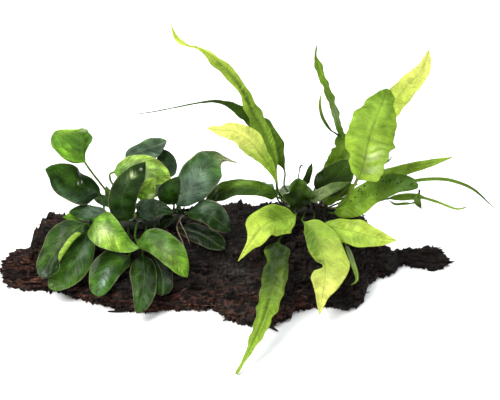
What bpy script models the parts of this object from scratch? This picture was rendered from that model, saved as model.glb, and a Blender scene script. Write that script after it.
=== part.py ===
"""Anubias and java fern grown onto one piece of driftwood, at rest on its flat underside.

Lengths are in millimetres here and become metres when a mesh is made. +X runs along the wood
to the right, +Y to the back and +Z up, from the middle of the wood's flat underside.
"""

import math

import bmesh
import bpy
from mathutils import Vector, noise
from mathutils.bvhtree import BVHTree

MM = 0.001
GAP = 0.3  # between pieces that touch

WOOD_STEP = 8.0  # between two sections of the wood
WOOD_ROUGH = 1.3  # how far the bark's layers wander
WOOD_GRAIN = 0.045  # waves per mm along the wood
WOOD_SEED = 4.0
ABOVE_WOOD = 100.0  # a height that clears the wood

ANUBIAS_RHIZOME_RADIUS = 4.0
FERN_RHIZOME_RADIUS = 2.6

ANUBIAS_STALK_RADIUS = 0.85
FERN_STALK_RADIUS = 0.6
ANUBIAS_BLADE_THICKNESS = 0.8
FERN_BLADE_THICKNESS = 0.7
STALK_LIFT = 2.5  # a stalk leaves the rhizome at right angles for this far

# The wood seen from above and from the front: x, front edge y, back edge y, height
WOOD_PLAN = (
    (-154, -1, 7, 7),
    (-150, -7, 11, 14),
    (-144, -12, 14, 16),
    (-135, -14, 20, 19),
    (-129, -15, 34, 28),
    (-123, -16, 43, 30),
    (-114, -18, 43, 30),
    (-106, -22, 43, 29),
    (-91, -28, 46, 28),
    (-78, -36, 48, 28),
    (-54, -41, 51, 29),
    (-37, -39, 52, 30),
    (-13, -38, 53, 32),
    (-3, -42, 54, 33),
    (2, -50, 54, 34),
    (16, -56, 53, 34),
    (29, -60, 52, 35),
    (44, -49, 51, 37),
    (51, -39, 50, 38),
    (65, -35, 48, 37),
    (75, -38, 46, 34),
    (86, -38, 44, 31),
    (94, -28, 41, 29),
    (100, -8, 36, 25),
    (108, 0, 26, 18),
    (116, 4, 21, 13),
    (124, 16, 23, 11),
    (132, 13, 23, 12),
    (143, 10, 23, 13),
    (150, 11, 22, 12),
    (154, 14, 19, 7),
)

# The wood's section from the front foot over the top to the back foot: share of depth, of height
WOOD_SECTION = (
    (0.0, 0.0),
    (-0.01, 0.14),
    (0.03, 0.29),
    (0.09, 0.33),
    (0.12, 0.48),
    (0.21, 0.55),
    (0.25, 0.69),
    (0.35, 0.76),
    (0.39, 0.89),
    (0.51, 0.95),
    (0.62, 1.0),
    (0.74, 0.95),
    (0.85, 0.98),
    (0.95, 0.89),
    (0.99, 0.52),
    (1.0, 0.0),
    (0.66, 0.0),
    (0.33, 0.0),
)

# Where the two rhizomes creep over the wood, seen from above
ANUBIAS_CREEP = ((-95, 8), (-82, 12), (-68, 16), (-54, 19), (-40, 21), (-26, 23))
FERN_CREEP = ((38, 21), (46, 23), (55, 24), (64, 24), (73, 26))

# Outlines of a blade that is the same on both sides: share of its length, share of its width
OVAL = ((0, 0.1), (0.07, 0.52), (0.22, 0.92), (0.42, 1), (0.62, 0.92), (0.8, 0.67), (0.93, 0.35), (1, 0.04))
LANCE = ((0, 0.08), (0.1, 0.38), (0.26, 0.84), (0.42, 1), (0.6, 0.9), (0.78, 0.58), (0.92, 0.24), (1, 0.04))
STRAP = ((0, 0.12), (0.08, 0.7), (0.2, 1), (0.4, 0.95), (0.6, 0.86), (0.78, 0.6), (0.92, 0.25), (1, 0.04))
BLUNT = ((0, 0.1), (0.1, 0.65), (0.24, 0.95), (0.42, 1), (0.6, 0.98), (0.78, 0.8), (0.92, 0.48), (1, 0.16))
TAILED = (
    (0, 0.15), (0.1, 0.7), (0.2, 1), (0.28, 0.94), (0.36, 0.78), (0.44, 0.58), (0.51, 0.38),
    (0.57, 0.2), (0.66, 0.12), (0.75, 0.08), (1, 0.05),
)
THREAD = ((0, 0.5), (0.2, 1), (0.34, 0.9), (0.46, 0.42), (0.75, 0.34), (1, 0.2))
SLIP = ((0, 0.3), (0.3, 0.95), (0.6, 0.9), (1, 0.08))

# Each leaf: where it sprouts on its rhizome (x, degrees round it: 0 front, 90 top, 180 back), the
# points of its stalk, the points of its blade from base to tip, the way it faces, and either the
# blade's width and outline or its shape: share of its length, left half width, right half width,
# as seen from the face with the tip up
ANUBIAS_LEAVES = (
    dict(sprout=(-68, 110), stalk=((-80, 24, 54),),
         blade=((-95.6, 27, 77.4), (-98.3, 25.5, 91.5), (-96.6, 24, 106)), face=(0.1, -0.85, 0.5),
         shape=((0, 1.4, 1), (0.05, 4.2, 1.4), (0.15, 9, 2.2), (0.3, 15, 4), (0.5, 19, 6.5),
                (0.62, 20, 8), (0.75, 19, 8.4), (0.86, 16, 6.4), (0.92, 10, 4.6), (1, 0.5, 2))),
    dict(sprout=(-84, 120), stalk=(), blade=((-85.5, 24, 53), (-101.8, 17, 66.2), (-120.9, 9, 82.9)),
         face=(0.1, -0.6, 0.8),
         shape=((0, 0.8, 0.8), (0.08, 5, 4.5), (0.25, 12, 9.5), (0.5, 15, 11), (0.62, 13.5, 11),
                (0.75, 10.5, 9.8), (0.88, 6.4, 6), (0.95, 3.6, 3.4), (1, 0.4, 0.4))),
    dict(sprout=(-78, 50), stalk=(), blade=((-79, 9, 44), (-91, 8, 48), (-106, 4, 52)),
         width=14, face=(0.3, -0.4, 0.85)),
    dict(sprout=(-94, 50), stalk=(), blade=((-96, 6, 44), (-102, 4, 48), (-110, 2, 49)),
         width=8, face=(0, -0.5, 0.85), outline=SLIP),
    dict(sprout=(-87, 20), stalk=(),
         blade=((-94.7, 0, 44.6), (-107.2, -9, 41.4), (-116, -21, 33), (-123.4, -32, 22.4)),
         face=(-0.1, -0.6, 0.8),
         shape=((0, 0.8, 0.8), (0.08, 4.5, 4.5), (0.2, 7.5, 9), (0.4, 8.5, 11.3), (0.6, 8.5, 9.6),
                (0.8, 8.6, 8.2), (0.92, 6, 5.6), (1, 0.8, 0.8))),
    dict(sprout=(-82, 5), stalk=(),
         blade=((-92, 0, 40), (-97.5, -11, 31.5), (-106, -22, 22), (-118, -31, 12.5)),
         face=(0.1, -0.6, 0.8),
         shape=((0, 0.8, 0.8), (0.1, 5, 5), (0.25, 9, 10), (0.5, 11.8, 12), (0.75, 9.8, 9.5),
                (0.9, 6.4, 6.2), (1, 0.8, 0.8))),
    dict(sprout=(-91, 72), stalk=((-91.5, 0.5, 48),),
         blade=((-88.3, -5, 51.7), (-76.2, -16, 49), (-65.4, -21, 42.6), (-57.3, -24, 40.9)),
         face=(0, -0.7, 0.7),
         shape=((0, 1, 1), (0.05, 7.8, 9.2), (0.16, 10, 12.6), (0.36, 8.8, 13.8), (0.55, 6.4, 11.5),
                (0.75, 3.9, 7.8), (0.9, 2, 4), (1, 0.3, 0.3))),
    dict(sprout=(-66, 15), stalk=((-66, 2, 36),),
         blade=((-65, -12, 27.5), (-76, -20, 25), (-82.5, -28, 18.5), (-85.5, -40, 13)),
         face=(0, -0.7, 0.7),
         shape=((0, 0.8, 0.8), (0.1, 5.5, 5.5), (0.3, 9, 10), (0.5, 9, 11.5), (0.75, 7.8, 8.4),
                (0.9, 5.6, 6.2), (1, 0.8, 0.8))),
    dict(sprout=(-54, 15), stalk=((-54, 4, 37),),
         blade=((-56, -14, 29), (-54, -30, 23), (-55.6, -46, 15), (-58.4, -56, 10)),
         face=(0, -0.75, 0.65),
         shape=((0, 0.8, 0.8), (0.1, 5.5, 6.5), (0.2, 7.6, 9.2), (0.33, 8.5, 10.1), (0.6, 8.8, 7.6),
                (0.8, 7, 5), (0.93, 4, 3), (1, 0.4, 0.4))),
    dict(sprout=(-48, 15), stalk=((-48, 5, 34),), blade=((-50, -10, 30), (-43, -26, 23), (-42, -40, 13.5)),
         face=(0, -0.7, 0.7),
         shape=((0, 0.8, 0.8), (0.2, 5, 5), (0.5, 7.5, 7), (0.8, 7.5, 7.5), (0.93, 5.5, 5.5), (1, 1, 1))),
    dict(sprout=(-58, 40), stalk=((-60, 4, 42),),
         blade=((-60, -10, 38), (-47, -18, 41), (-34, -28, 35.5), (-25, -36, 25.5)), face=(0.1, -0.7, 0.7),
         shape=((0, 0.8, 0.8), (0.08, 5, 4.5), (0.2, 8.6, 6.4), (0.4, 11, 8), (0.6, 11, 7.8),
                (0.8, 7.6, 6.4), (0.93, 3.6, 3.4), (1, 0.3, 0.3))),
    dict(sprout=(-63, 65), stalk=(), blade=((-66, 4, 45), (-70, 0, 62), (-65, -2, 78), (-53, 0, 94)),
         face=(0, -0.95, 0.3),
         shape=((0, 1, 1), (0.08, 7, 6), (0.2, 8.4, 9), (0.4, 9, 10.3), (0.6, 8.8, 9.8), (0.8, 6.4, 7.8),
                (0.93, 3.2, 3.5), (1, 0.3, 0.3))),
    dict(sprout=(-62, 120), stalk=((-76, 28, 57), (-79, 28, 64)),
         blade=((-76.5, 26, 70), (-56, 20, 76), (-37, 18, 69)), face=(0, -0.6, 0.8),
         shape=((0, 0.8, 0.8), (0.05, 4.2, 3.4), (0.12, 7, 6.4), (0.3, 10, 9.5), (0.5, 11, 10.5),
                (0.7, 10, 9), (0.85, 7.4, 6.4), (0.95, 4, 3.6), (1, 0.6, 0.6))),
    dict(sprout=(-52, 95), stalk=(), blade=((-55, 14, 54), (-52, 6, 70), (-47, 4, 79)),
         width=13, face=(0, -0.9, 0.4)),
    dict(sprout=(-60, 150), stalk=((-66, 32, 58),), blade=((-68, 34, 76), (-55, 36, 82), (-40, 38, 88)),
         face=(0, -0.7, 0.7),
         shape=((0, 0.8, 0.8), (0.08, 3, 3.5), (0.2, 4.8, 6), (0.4, 5.6, 8), (0.6, 6.4, 8.5),
                (0.8, 5, 6.6), (0.93, 2.8, 3), (1, 0.5, 0.5))),
    dict(sprout=(-42, 140), stalk=((-41, 32, 48),), blade=((-41, 34, 60), (-40.5, 36, 71), (-44, 38, 81.5)),
         width=14.5, face=(0, -0.8, 0.6)),
    dict(sprout=(-37, 70), stalk=(), blade=((-35, 16, 50), (-38, 8, 66), (-31, 6, 79)),
         face=(0, -0.85, 0.5),
         shape=((0, 0.8, 0.8), (0.1, 4, 3.5), (0.3, 7.5, 6.3), (0.5, 8, 9), (0.7, 5.3, 8), (0.9, 2.4, 3.9),
                (1, 0.4, 0.4))),
    dict(sprout=(-32, 105), stalk=(),
         blade=((-33, 20, 45.5), (-25.5, 17, 61), (-14.5, 17, 76.5), (-4, 19, 85), (8.5, 22, 80)),
         face=(0.1, -0.8, 0.6),
         shape=((0, 1, 1), (0.07, 5, 5), (0.15, 7.6, 8.2), (0.35, 11.6, 13), (0.5, 12.6, 13.4),
                (0.65, 11.8, 12), (0.76, 6.6, 7.4), (0.84, 2, 2.2), (0.92, 0.8, 0.8), (1, 0.3, 0.3))),
    dict(sprout=(-28, 60), stalk=(), blade=((-26, 12, 46), (-11, 2, 51), (4, -6, 43)),
         face=(0.1, -0.6, 0.8),
         shape=((0, 0.8, 0.8), (0.1, 5, 3.5), (0.3, 10, 6), (0.5, 10.6, 7), (0.7, 9, 7.8), (0.9, 4.3, 5),
                (1, 0.4, 0.4))),
    dict(sprout=(-31, 20), stalk=(), blade=((-32, 8, 37), (-15, 0, 35), (0, -10, 31)),
         face=(0, -0.5, 0.85),
         shape=((0, 0.8, 0.8), (0.1, 4, 4), (0.3, 7.5, 6.2), (0.5, 7.2, 7), (0.7, 7.6, 6.7),
                (0.9, 5, 4.2), (1, 0.5, 0.5))),
    dict(sprout=(-56, 65), stalk=(), blade=((-57, 11, 43), (-49, 6, 53), (-35, 2, 53)),
         face=(0, -0.8, 0.6),
         shape=((0, 1, 1), (0.1, 7, 4), (0.3, 9.3, 7.5), (0.5, 7, 8), (0.7, 5.2, 4.4), (0.9, 2.6, 2),
                (1, 0.3, 0.3))),
    dict(sprout=(-44, 45), stalk=(), blade=((-45, 10, 38), (-40, 6, 44), (-34, 4, 47)),
         width=9, face=(0, -0.7, 0.7), outline=SLIP),
    dict(sprout=(-76, 115), stalk=(), blade=((-78.5, 26, 46), (-80.5, 29, 51), (-82, 29.5, 57)),
         width=5, face=(0, -0.9, 0.4), outline=SLIP),
    dict(sprout=(-76, 165), stalk=(), blade=((-80, 30, 39), (-84, 44, 40), (-88, 60, 30)),
         width=18, face=(0, 0.2, 0.95)),
    dict(sprout=(-50, 165), stalk=(), blade=((-50, 34, 44), (-50, 50, 48), (-48, 68, 42)),
         width=19, face=(0, 0.1, 1)),
    dict(sprout=(-33, 160), stalk=(), blade=((-30, 35, 42), (-22, 48, 45), (-14, 60, 38)),
         width=17, face=(0.1, 0.1, 1)),
)

FERN_LEAVES = (
    dict(sprout=(45, 100), stalk=((37, 28, 52),),
         blade=((35, 26, 68), (33, 24, 84), (27, 22, 102), (18.5, 20, 122), (10, 20, 141), (-2.5, 20, 157.5),
                (-17, 20, 169.5), (-23.5, 20, 171), (-31.5, 22, 176), (-34.8, 22, 186)),
         face=(0.15, -0.9, 0.4),
         shape=((0, 0.5, 0.5), (0.1, 3, 2.8), (0.25, 5.5, 5.5), (0.38, 5, 5.3), (0.46, 3.6, 4),
                (0.53, 3.2, 3.4), (0.6, 4, 4.2), (0.68, 4.2, 3.8), (0.75, 2.6, 2.6), (0.81, 1.2, 1),
                (0.86, 0.8, 0.8), (0.9, 1.9, 1.5), (0.95, 1.2, 1.2), (1, 0.2, 0.2))),
    dict(sprout=(50, 125), stalk=((41, 36, 52),),
         blade=((41, 37, 64), (36, 38, 77), (32, 39, 89), (26, 40, 97), (18, 40, 104), (11, 38, 111),
                (4, 36, 117), (-4, 34, 121), (-13, 32, 122), (-28, 30, 120), (-46, 28, 117), (-58, 26, 116)),
         width=13, face=(0, -0.9, 0.4), outline=TAILED),
    dict(sprout=(42, 85), stalk=((36, 20, 52),),
         blade=((35, 19, 64), (33.9, 18, 71.6), (29.2, 15, 83.8), (23.8, 11, 94.2), (17, 7, 105.9),
                (10.6, 5, 112.3), (4.5, 3, 116.5), (-2.2, 1.5, 117.6), (-12, 0, 120)),
         face=(-0.1, -0.85, 0.5),
         shape=((0, 0.5, 0.5), (0.094, 1.5, 1.5), (0.258, 3.9, 3.9), (0.41, 6.2, 5.4), (0.583, 7.8, 7.6),
                (0.696, 6.8, 7), (0.794, 6.3, 5.9), (0.88, 4.4, 3.1), (0.94, 2.2, 2.4), (1, 0.2, 0.2))),
    dict(sprout=(40, 120), stalk=((40, 24, 48),),
         blade=((36, 23, 52), (27, 20, 59), (12, 20, 62), (-2, 22, 57), (-14, 26, 47)),
         face=(0, -0.6, 0.8),
         shape=((0, 1, 1), (0.1, 4.5, 4.5), (0.3, 5.4, 5.4), (0.5, 6.2, 6.2), (0.7, 6.4, 6.4),
                (0.85, 5, 5), (1, 0.5, 0.5))),
    dict(sprout=(46, 60), stalk=(),
         blade=((48.5, 8, 47.5), (40, 3, 47), (28, -8, 50), (20, -18, 46), (9, -28, 33)),
         face=(-0.1, -0.7, 0.7),
         shape=((0, 0.5, 0.5), (0.04, 4, 3.5), (0.1, 8, 7.5), (0.2, 12, 11), (0.35, 10.8, 12),
                (0.5, 9.2, 11.6), (0.6, 8.8, 10), (0.7, 7.3, 4.5), (0.78, 4.4, 2.2), (0.9, 2, 1.2),
                (1, 0.2, 0.2))),
    dict(sprout=(49, 35), stalk=((44, 4, 41),),
         blade=((36.6, -10, 38.1), (34.2, -27, 36.2), (33.3, -45, 32.9), (30.5, -62, 26.2),
                (25.2, -80, 19.4), (17, -98, 10.7), (8, -112, 1.2)),
         face=(0, -0.5, 0.85),
         shape=((0, 0.8, 0.8), (0.05, 7.6, 6.4), (0.12, 9.9, 8.6), (0.19, 8.9, 6.4), (0.28, 8, 8),
                (0.43, 7.9, 7.8), (0.5, 7.5, 7.5), (0.58, 6.4, 6.5), (0.66, 5.2, 5.2), (0.74, 3.9, 3.9),
                (0.83, 2.4, 2.4), (0.9, 1.4, 1.4), (0.97, 1.2, 1.2), (1, 0.9, 0.9))),
    dict(sprout=(56, 40), stalk=((53, 8, 44),),
         blade=((52.8, 3, 45.1), (58.9, -3, 43.3), (62.2, -12, 40.2), (65.3, -21, 36.2), (67.3, -32, 31.6),
                (67.1, -42, 26.2), (65, -51, 19.3), (63.3, -58.5, 10.9)),
         face=(0.1, -0.7, 0.7),
         shape=((0, 0.6, 0.6), (0.06, 4, 3.5), (0.114, 8, 6.5), (0.247, 14, 7.7), (0.38, 14.6, 8.5),
                (0.49, 16, 6), (0.535, 17, 1.6), (0.555, 16.8, 1.6), (0.6, 15.6, 7.6), (0.694, 11.5, 9.8),
                (0.77, 7.8, 7.6), (0.846, 4.2, 4.6), (0.92, 2.4, 2.6), (1, 0.2, 0.2))),
    dict(sprout=(62, 45), stalk=((61, 10, 42),),
         blade=((66, 5, 42), (74, 2, 41), (91, -4, 40), (105, -8, 38), (116, -10, 38)),
         face=(0, -0.6, 0.8),
         shape=((0, 0.6, 0.6), (0.05, 2.5, 3), (0.1, 4.2, 5.5), (0.25, 7, 8.6), (0.5, 9.2, 10.6),
                (0.7, 7.4, 7.6), (0.85, 4.4, 4.2), (0.93, 2.3, 2.1), (1, 0.2, 0.2))),
    dict(sprout=(61, 70), stalk=((78, 8, 54),),
         blade=((89.2, 2, 78.4), (93.5, 2, 94.3), (95.3, 2, 106.2), (98, 3, 117.5), (101.4, 5, 128.2),
                (105.4, 8, 137.5), (108.8, 12, 142.6)),
         face=(-0.1, -0.92, 0.3),
         shape=((0, 1.6, 6), (0.03, 4.5, 11), (0.1, 7.6, 13.6), (0.17, 9.6, 14), (0.237, 11.4, 14.2),
                (0.41, 14.6, 15.6), (0.578, 15.6, 16.2), (0.742, 12.4, 14.3), (0.84, 9.4, 9.8),
                (0.895, 7.6, 7.6), (0.95, 5, 6.2), (1, 1.8, 1.8))),
    dict(sprout=(66, 115), stalk=((84, 30, 49),),
         blade=((95, 34, 74), (106.5, 36, 108), (122.8, 36, 131.5), (132, 34, 145.5), (135.8, 32, 162)),
         face=(0.1, -0.9, 0.4),
         shape=((0, 0.5, 0.5), (0.1, 3, 3), (0.3, 7.5, 7.5), (0.5, 8.5, 8.5), (0.68, 7, 7), (0.85, 4.2, 5),
                (0.94, 2, 2.6), (1, 0.2, 0.2))),
    dict(sprout=(57, 100), stalk=(),
         blade=((60.5, 32, 50), (67, 33, 63), (74, 34, 74.5), (79, 34, 86), (77.5, 33, 100),
                (72.4, 32, 121), (65.4, 32, 141), (61, 32, 155), (61, 32, 165)),
         face=(0, -0.9, 0.4),
         shape=((0, 0.8, 0.8), (0.1, 2.4, 2.4), (0.2, 3.8, 4), (0.3, 4.8, 6), (0.37, 4, 6), (0.43, 1.8, 2.4),
                (0.5, 2.2, 2.4), (0.65, 2.5, 2.5), (0.8, 2.4, 2.2), (0.88, 2.6, 2.6), (0.93, 1, 1),
                (1, 0.3, 0.3))),
    dict(foot=(77, 32, 96), stalk=(),
         blade=((74.5, 30, 99), (71, 30, 102), (66, 30, 111), (64, 30, 121), (65.2, 30, 132)),
         width=2.4, face=(0, -0.9, 0.4), outline=SLIP),
    dict(sprout=(70, 40), stalk=(),
         blade=((74, 18, 42), (85, 12, 51), (98, 10, 61), (115, 4, 72), (130, 0, 74)),
         face=(0.1, -0.75, 0.65),
         shape=((0, 0.6, 0.6), (0.07, 3.5, 4), (0.15, 6.5, 6.3), (0.3, 9, 8.6), (0.5, 10, 7), (0.7, 9.5, 5.4),
                (0.85, 8.7, 3.8), (0.95, 6.2, 2.2), (1, 2, 0.6))),
    dict(sprout=(70, 100), stalk=((81, 26, 51),),
         blade=((95, 26, 60), (108, 26, 67), (124, 24, 74), (140, 22, 80), (155, 20, 86)),
         width=8, face=(0, -0.8, 0.6), outline=STRAP),
    dict(sprout=(72, 80), stalk=((91, 24, 52),),
         blade=((115, 20, 63.5), (132, 16, 70), (145, 12, 73.3), (156, 10, 72.5), (169, 6, 68), (184, 2, 54.5)),
         width=2.6, face=(0, -0.8, 0.6), outline=SLIP),
    dict(sprout=(72, 50), stalk=((95, 20, 47),),
         blade=((112, 18, 54), (130, 14, 58), (136, 12, 58), (145, 10, 56), (157, 8, 52), (164, 8, 53)),
         width=5, face=(0, -0.8, 0.6), outline=THREAD),
    dict(sprout=(51, 85), stalk=(), blade=((50, 16, 47), (50.5, 12, 60), (49, 14, 72.5)),
         width=19, face=(0.3, -0.8, 0.5), outline=BLUNT),
    dict(sprout=(67, 30), stalk=((71, 8, 37),),
         blade=((81, -4, 33), (86, -18, 27), (89, -30, 20), (85, -33, 17)),
         width=4, face=(0.3, -0.7, 0.6), outline=SLIP),
    dict(sprout=(54, 120), stalk=(), blade=((55, 30, 57), (57, 31, 65), (59, 32, 73)),
         width=6.5, face=(0, -0.9, 0.4), outline=BLUNT),
    dict(sprout=(49, 105), stalk=((50, 30, 61),), blade=((51, 30, 70), (52, 30, 73), (54, 30, 73)),
         width=1.4, face=(0, -0.9, 0.4), outline=SLIP),
    dict(sprout=(58, 75), stalk=(), blade=((58, 18, 52), (70, 14, 63), (85, 12, 71)),
         width=8, face=(0, -0.8, 0.6), outline=STRAP),
    dict(sprout=(60, 92), stalk=(), blade=((63, 24, 55), (72, 24, 66), (79, 26, 80)),
         width=13, face=(0, -0.9, 0.4), outline=BLUNT),
    dict(sprout=(65, 95), stalk=(), blade=((67, 25, 45), (74, 24, 51), (84, 22, 60), (91, 21, 64)),
         width=8, face=(0, -0.8, 0.6), outline=STRAP),
    dict(sprout=(66, 150), stalk=((72, 40, 52),), blade=((80, 50, 62), (95, 62, 72), (104, 74, 74)),
         width=16, face=(0, -0.3, 0.95), outline=STRAP),
    dict(sprout=(50, 165), stalk=(), blade=((48, 44, 46), (46, 62, 36), (44, 76, 22), (42, 86, 8)),
         width=15, face=(0, 0.5, 0.85), outline=LANCE),
    dict(sprout=(42, 160), stalk=(), blade=((34, 44, 45), (24, 58, 41), (14, 72, 29)),
         width=12, face=(0, 0.3, 0.95), outline=LANCE),
)

# The plantlet on the tip of a thin frond: a small leaf across it and one that loops back
PLANTLET_LEAVES = (
    dict(foot=(132, 11, 65), stalk=(), blade=((132, 11, 63), (131, 11, 57), (134, 11, 50)),
         width=5, face=(0, -0.9, 0.4), outline=SLIP),
    dict(foot=(131, 12, 56), stalk=(), blade=((128, 12, 54), (122, 13, 53), (116, 14, 52), (111, 15, 55)),
         width=2, face=(0, -0.9, 0.4), outline=SLIP),
)

BLADE_STATIONS = (0, 0.07, 0.2, 0.38, 0.58, 0.77, 0.91, 1)
LONG_BLADE_STATIONS = (0, 0.06, 0.14, 0.24, 0.34, 0.44, 0.53, 0.61, 0.69, 0.77, 0.85, 0.93, 1)
SMALL_BLADE_STATIONS = (0, 0.22, 0.5, 0.78, 1)
LONG_BLADE = 80.0
SMALL_BLADE = 6.0  # a blade narrower than this has the fewest sections
WIDTH_STEPS = 20  # places at which a blade's widest spot is looked for
RING = ((1, 0), (0.6, 1), (0, 1), (-0.6, 1), (-1, 0), (-0.6, -1), (0, -1), (0.6, -1))  # across, through
STALK_STEP = 16.0
BLADE_FOLD = 8.0  # degrees that each half rises from the midrib
BLADE_ARCH = 0.1  # how far the margins turn down, as a share of the half width
TIP_RADIUS = 0.16


def part_collection():
    """An empty scene with one collection for the plants and their wood."""
    for obj in list(bpy.data.objects):
        bpy.data.objects.remove(obj, do_unlink=True)
    collection = bpy.data.collections.new("planted_driftwood")
    bpy.context.scene.collection.children.link(collection)
    return collection


def material(name, color, roughness):
    made = bpy.data.materials.new(name)
    made.use_nodes = True
    shader = made.node_tree.nodes["Principled BSDF"]
    shader.inputs["Base Color"].default_value = (*color, 1.0)
    shader.inputs["Roughness"].default_value = roughness
    shader.inputs["Metallic"].default_value = 0.0
    return made


def add_object(collection, name, rings, finish):
    """A closed skin over rings of points, all with the same number of points, capped at both ends."""
    bm = bmesh.new()
    rows = [[bm.verts.new(point * MM) for point in ring] for ring in rings]
    count = len(rows[0])
    for near, far in zip(rows, rows[1:]):
        for i in range(count):
            j = (i + 1) % count
            bm.faces.new((near[i], near[j], far[j], far[i]))
    bm.faces.new(rows[0][::-1])
    bm.faces.new(rows[-1])
    bmesh.ops.recalc_face_normals(bm, faces=bm.faces)
    mesh = bpy.data.meshes.new(name)
    bm.to_mesh(mesh)
    bm.free()
    mesh.materials.append(finish)
    mesh.shade_smooth()
    obj = bpy.data.objects.new(name, mesh)
    collection.objects.link(obj)
    return obj


def between(table, value):
    """The row of a table at a value of its first column, read straight between two rows."""
    if value <= table[0][0]:
        return table[0][1:]
    for low, high in zip(table, table[1:]):
        if value <= high[0]:
            share = (value - low[0]) / (high[0] - low[0])
            return tuple(a + (b - a) * share for a, b in zip(low[1:], high[1:]))
    return table[-1][1:]


def smooth_path(points, steps=10):
    """A dense Catmull-Rom curve through the points, and the distance along it of each given point."""
    points = [Vector(p) for p in points]
    ends = [2 * points[0] - points[1], *points, 2 * points[-1] - points[-2]]
    path = [points[0]]
    marks = [0.0]
    travelled = 0.0
    for a, b, c, d in zip(ends, ends[1:], ends[2:], ends[3:]):
        for i in range(1, steps + 1):
            t = i / steps
            bend = (2 * a - 5 * b + 4 * c - d) * t * t + (3 * b - a - 3 * c + d) * t**3
            spot = 0.5 * (2 * b + (c - a) * t + bend)
            travelled += (spot - path[-1]).length
            path.append(spot)
        marks.append(travelled)
    return path, marks


def walk(path, distance):
    """The point and the direction at a distance along a path."""
    for a, b in zip(path, path[1:]):
        length = (b - a).length
        if distance <= length:
            return a + (b - a) * (distance / length), (b - a).normalized()
        distance -= length
    return path[-1], (path[-1] - path[-2]).normalized()


def wood_ring(x):
    """One section of the wood, with layers that wander along the grain."""
    front, back, height = between(WOOD_PLAN, x)
    ring = []
    for i, (deep, high) in enumerate(WOOD_SECTION):
        drift = noise.noise(Vector((x * WOOD_GRAIN, i * 1.7, WOOD_SEED)))
        lift = noise.noise(Vector((x * WOOD_GRAIN, i * 1.7, 3 * WOOD_SEED)))
        rough = WOOD_ROUGH * min(1.0, height / 20)
        y = front + (back - front) * deep + 2 * rough * drift
        z = height * high + 2 * rough * lift * (high > 0)
        ring.append(Vector((x, y, max(z, 0.0))))
    return ring


def driftwood(collection, finish):
    start, end = WOOD_PLAN[0][0], WOOD_PLAN[-1][0]
    count = round((end - start) / WOOD_STEP)
    rings = [wood_ring(start + (end - start) * i / count) for i in range(count + 1)]
    return add_object(collection, "driftwood", rings, finish)


def wood_top(tree, x, y, reach):
    """The wood's highest point within a reach of x, y."""
    tops = []
    for dx in (-reach, 0, reach):
        for dy in (-reach, 0, reach):
            hit = tree.ray_cast(Vector((x + dx, y + dy, ABOVE_WOOD)) * MM, Vector((0, 0, -1)))[0]
            tops.append(hit.z / MM)
    return max(tops)


def round_ring(centre, direction, radius, sides=8):
    across = direction.cross(Vector((0, 0, 1))).normalized()
    up = across.cross(direction)
    turns = [2 * math.pi * i / sides for i in range(sides)]
    return [centre + across * (radius * math.cos(a)) + up * (radius * math.sin(a)) for a in turns]


def rhizome(collection, name, creep, radius, tree, finish):
    """A creeping stem that lies on the wood, thicker at each old leaf scar, and its path."""
    spots = [(x, y, wood_top(tree, x, y, radius) + GAP + radius) for x, y in creep]
    path, marks = smooth_path(spots)
    length = marks[-1]
    rings = []
    count = max(8, round(length / (1.3 * radius)))
    for i in range(count + 1):
        centre, direction = walk(path, length * i / count)
        taper = min(1.0, 0.55 + 3 * min(i, count - i) / count)
        rings.append(round_ring(centre, direction, radius * taper * (0.93 if i % 2 else 1.0)))
    add_object(collection, name, rings, finish)
    return path


def sprout_of(path, radius, x, around):
    """A point just off a rhizome's skin and the way out from there."""
    centre = min(path, key=lambda spot: abs(spot.x - x))
    out = Vector((0, -math.cos(math.radians(around)), math.sin(math.radians(around))))
    return centre + out * (radius + GAP), out


def half_widths(row, share):
    """How far a blade reaches to the left and to the right of its midrib at a share of its length."""
    if "shape" in row:
        return between(row["shape"], share)
    half = row["width"] / 2 * between(row.get("outline", OVAL), share)[0]
    return half, half


def blade_ring(centre, direction, face, widths, half_thickness, share):
    """A section of a leaf: round in the stalk (share 0), a folded, arched lens in the blade (share 1)."""
    across = direction.cross(face).normalized()
    normal = across.cross(direction)
    fold = math.radians(BLADE_FOLD) * share
    ring = []
    for side, through in RING:
        half_width = widths[1] if side > 0 else widths[0]
        reach = side if abs(side) in (0, 1) else side * (1.18 - 0.18 * share)
        if not side:
            through *= 1.0 + 0.3 * share
        rise = abs(reach) * half_width * math.sin(fold) - BLADE_ARCH * share * half_width * reach * reach
        rise += through * half_thickness * (0.71 if side else 1.0)
        ring.append(centre + across * (reach * half_width * math.cos(fold)) + normal * rise)
    return ring


def blade_stations(length, width):
    if length > LONG_BLADE:
        return LONG_BLADE_STATIONS
    return SMALL_BLADE_STATIONS if width < SMALL_BLADE else BLADE_STATIONS


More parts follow.
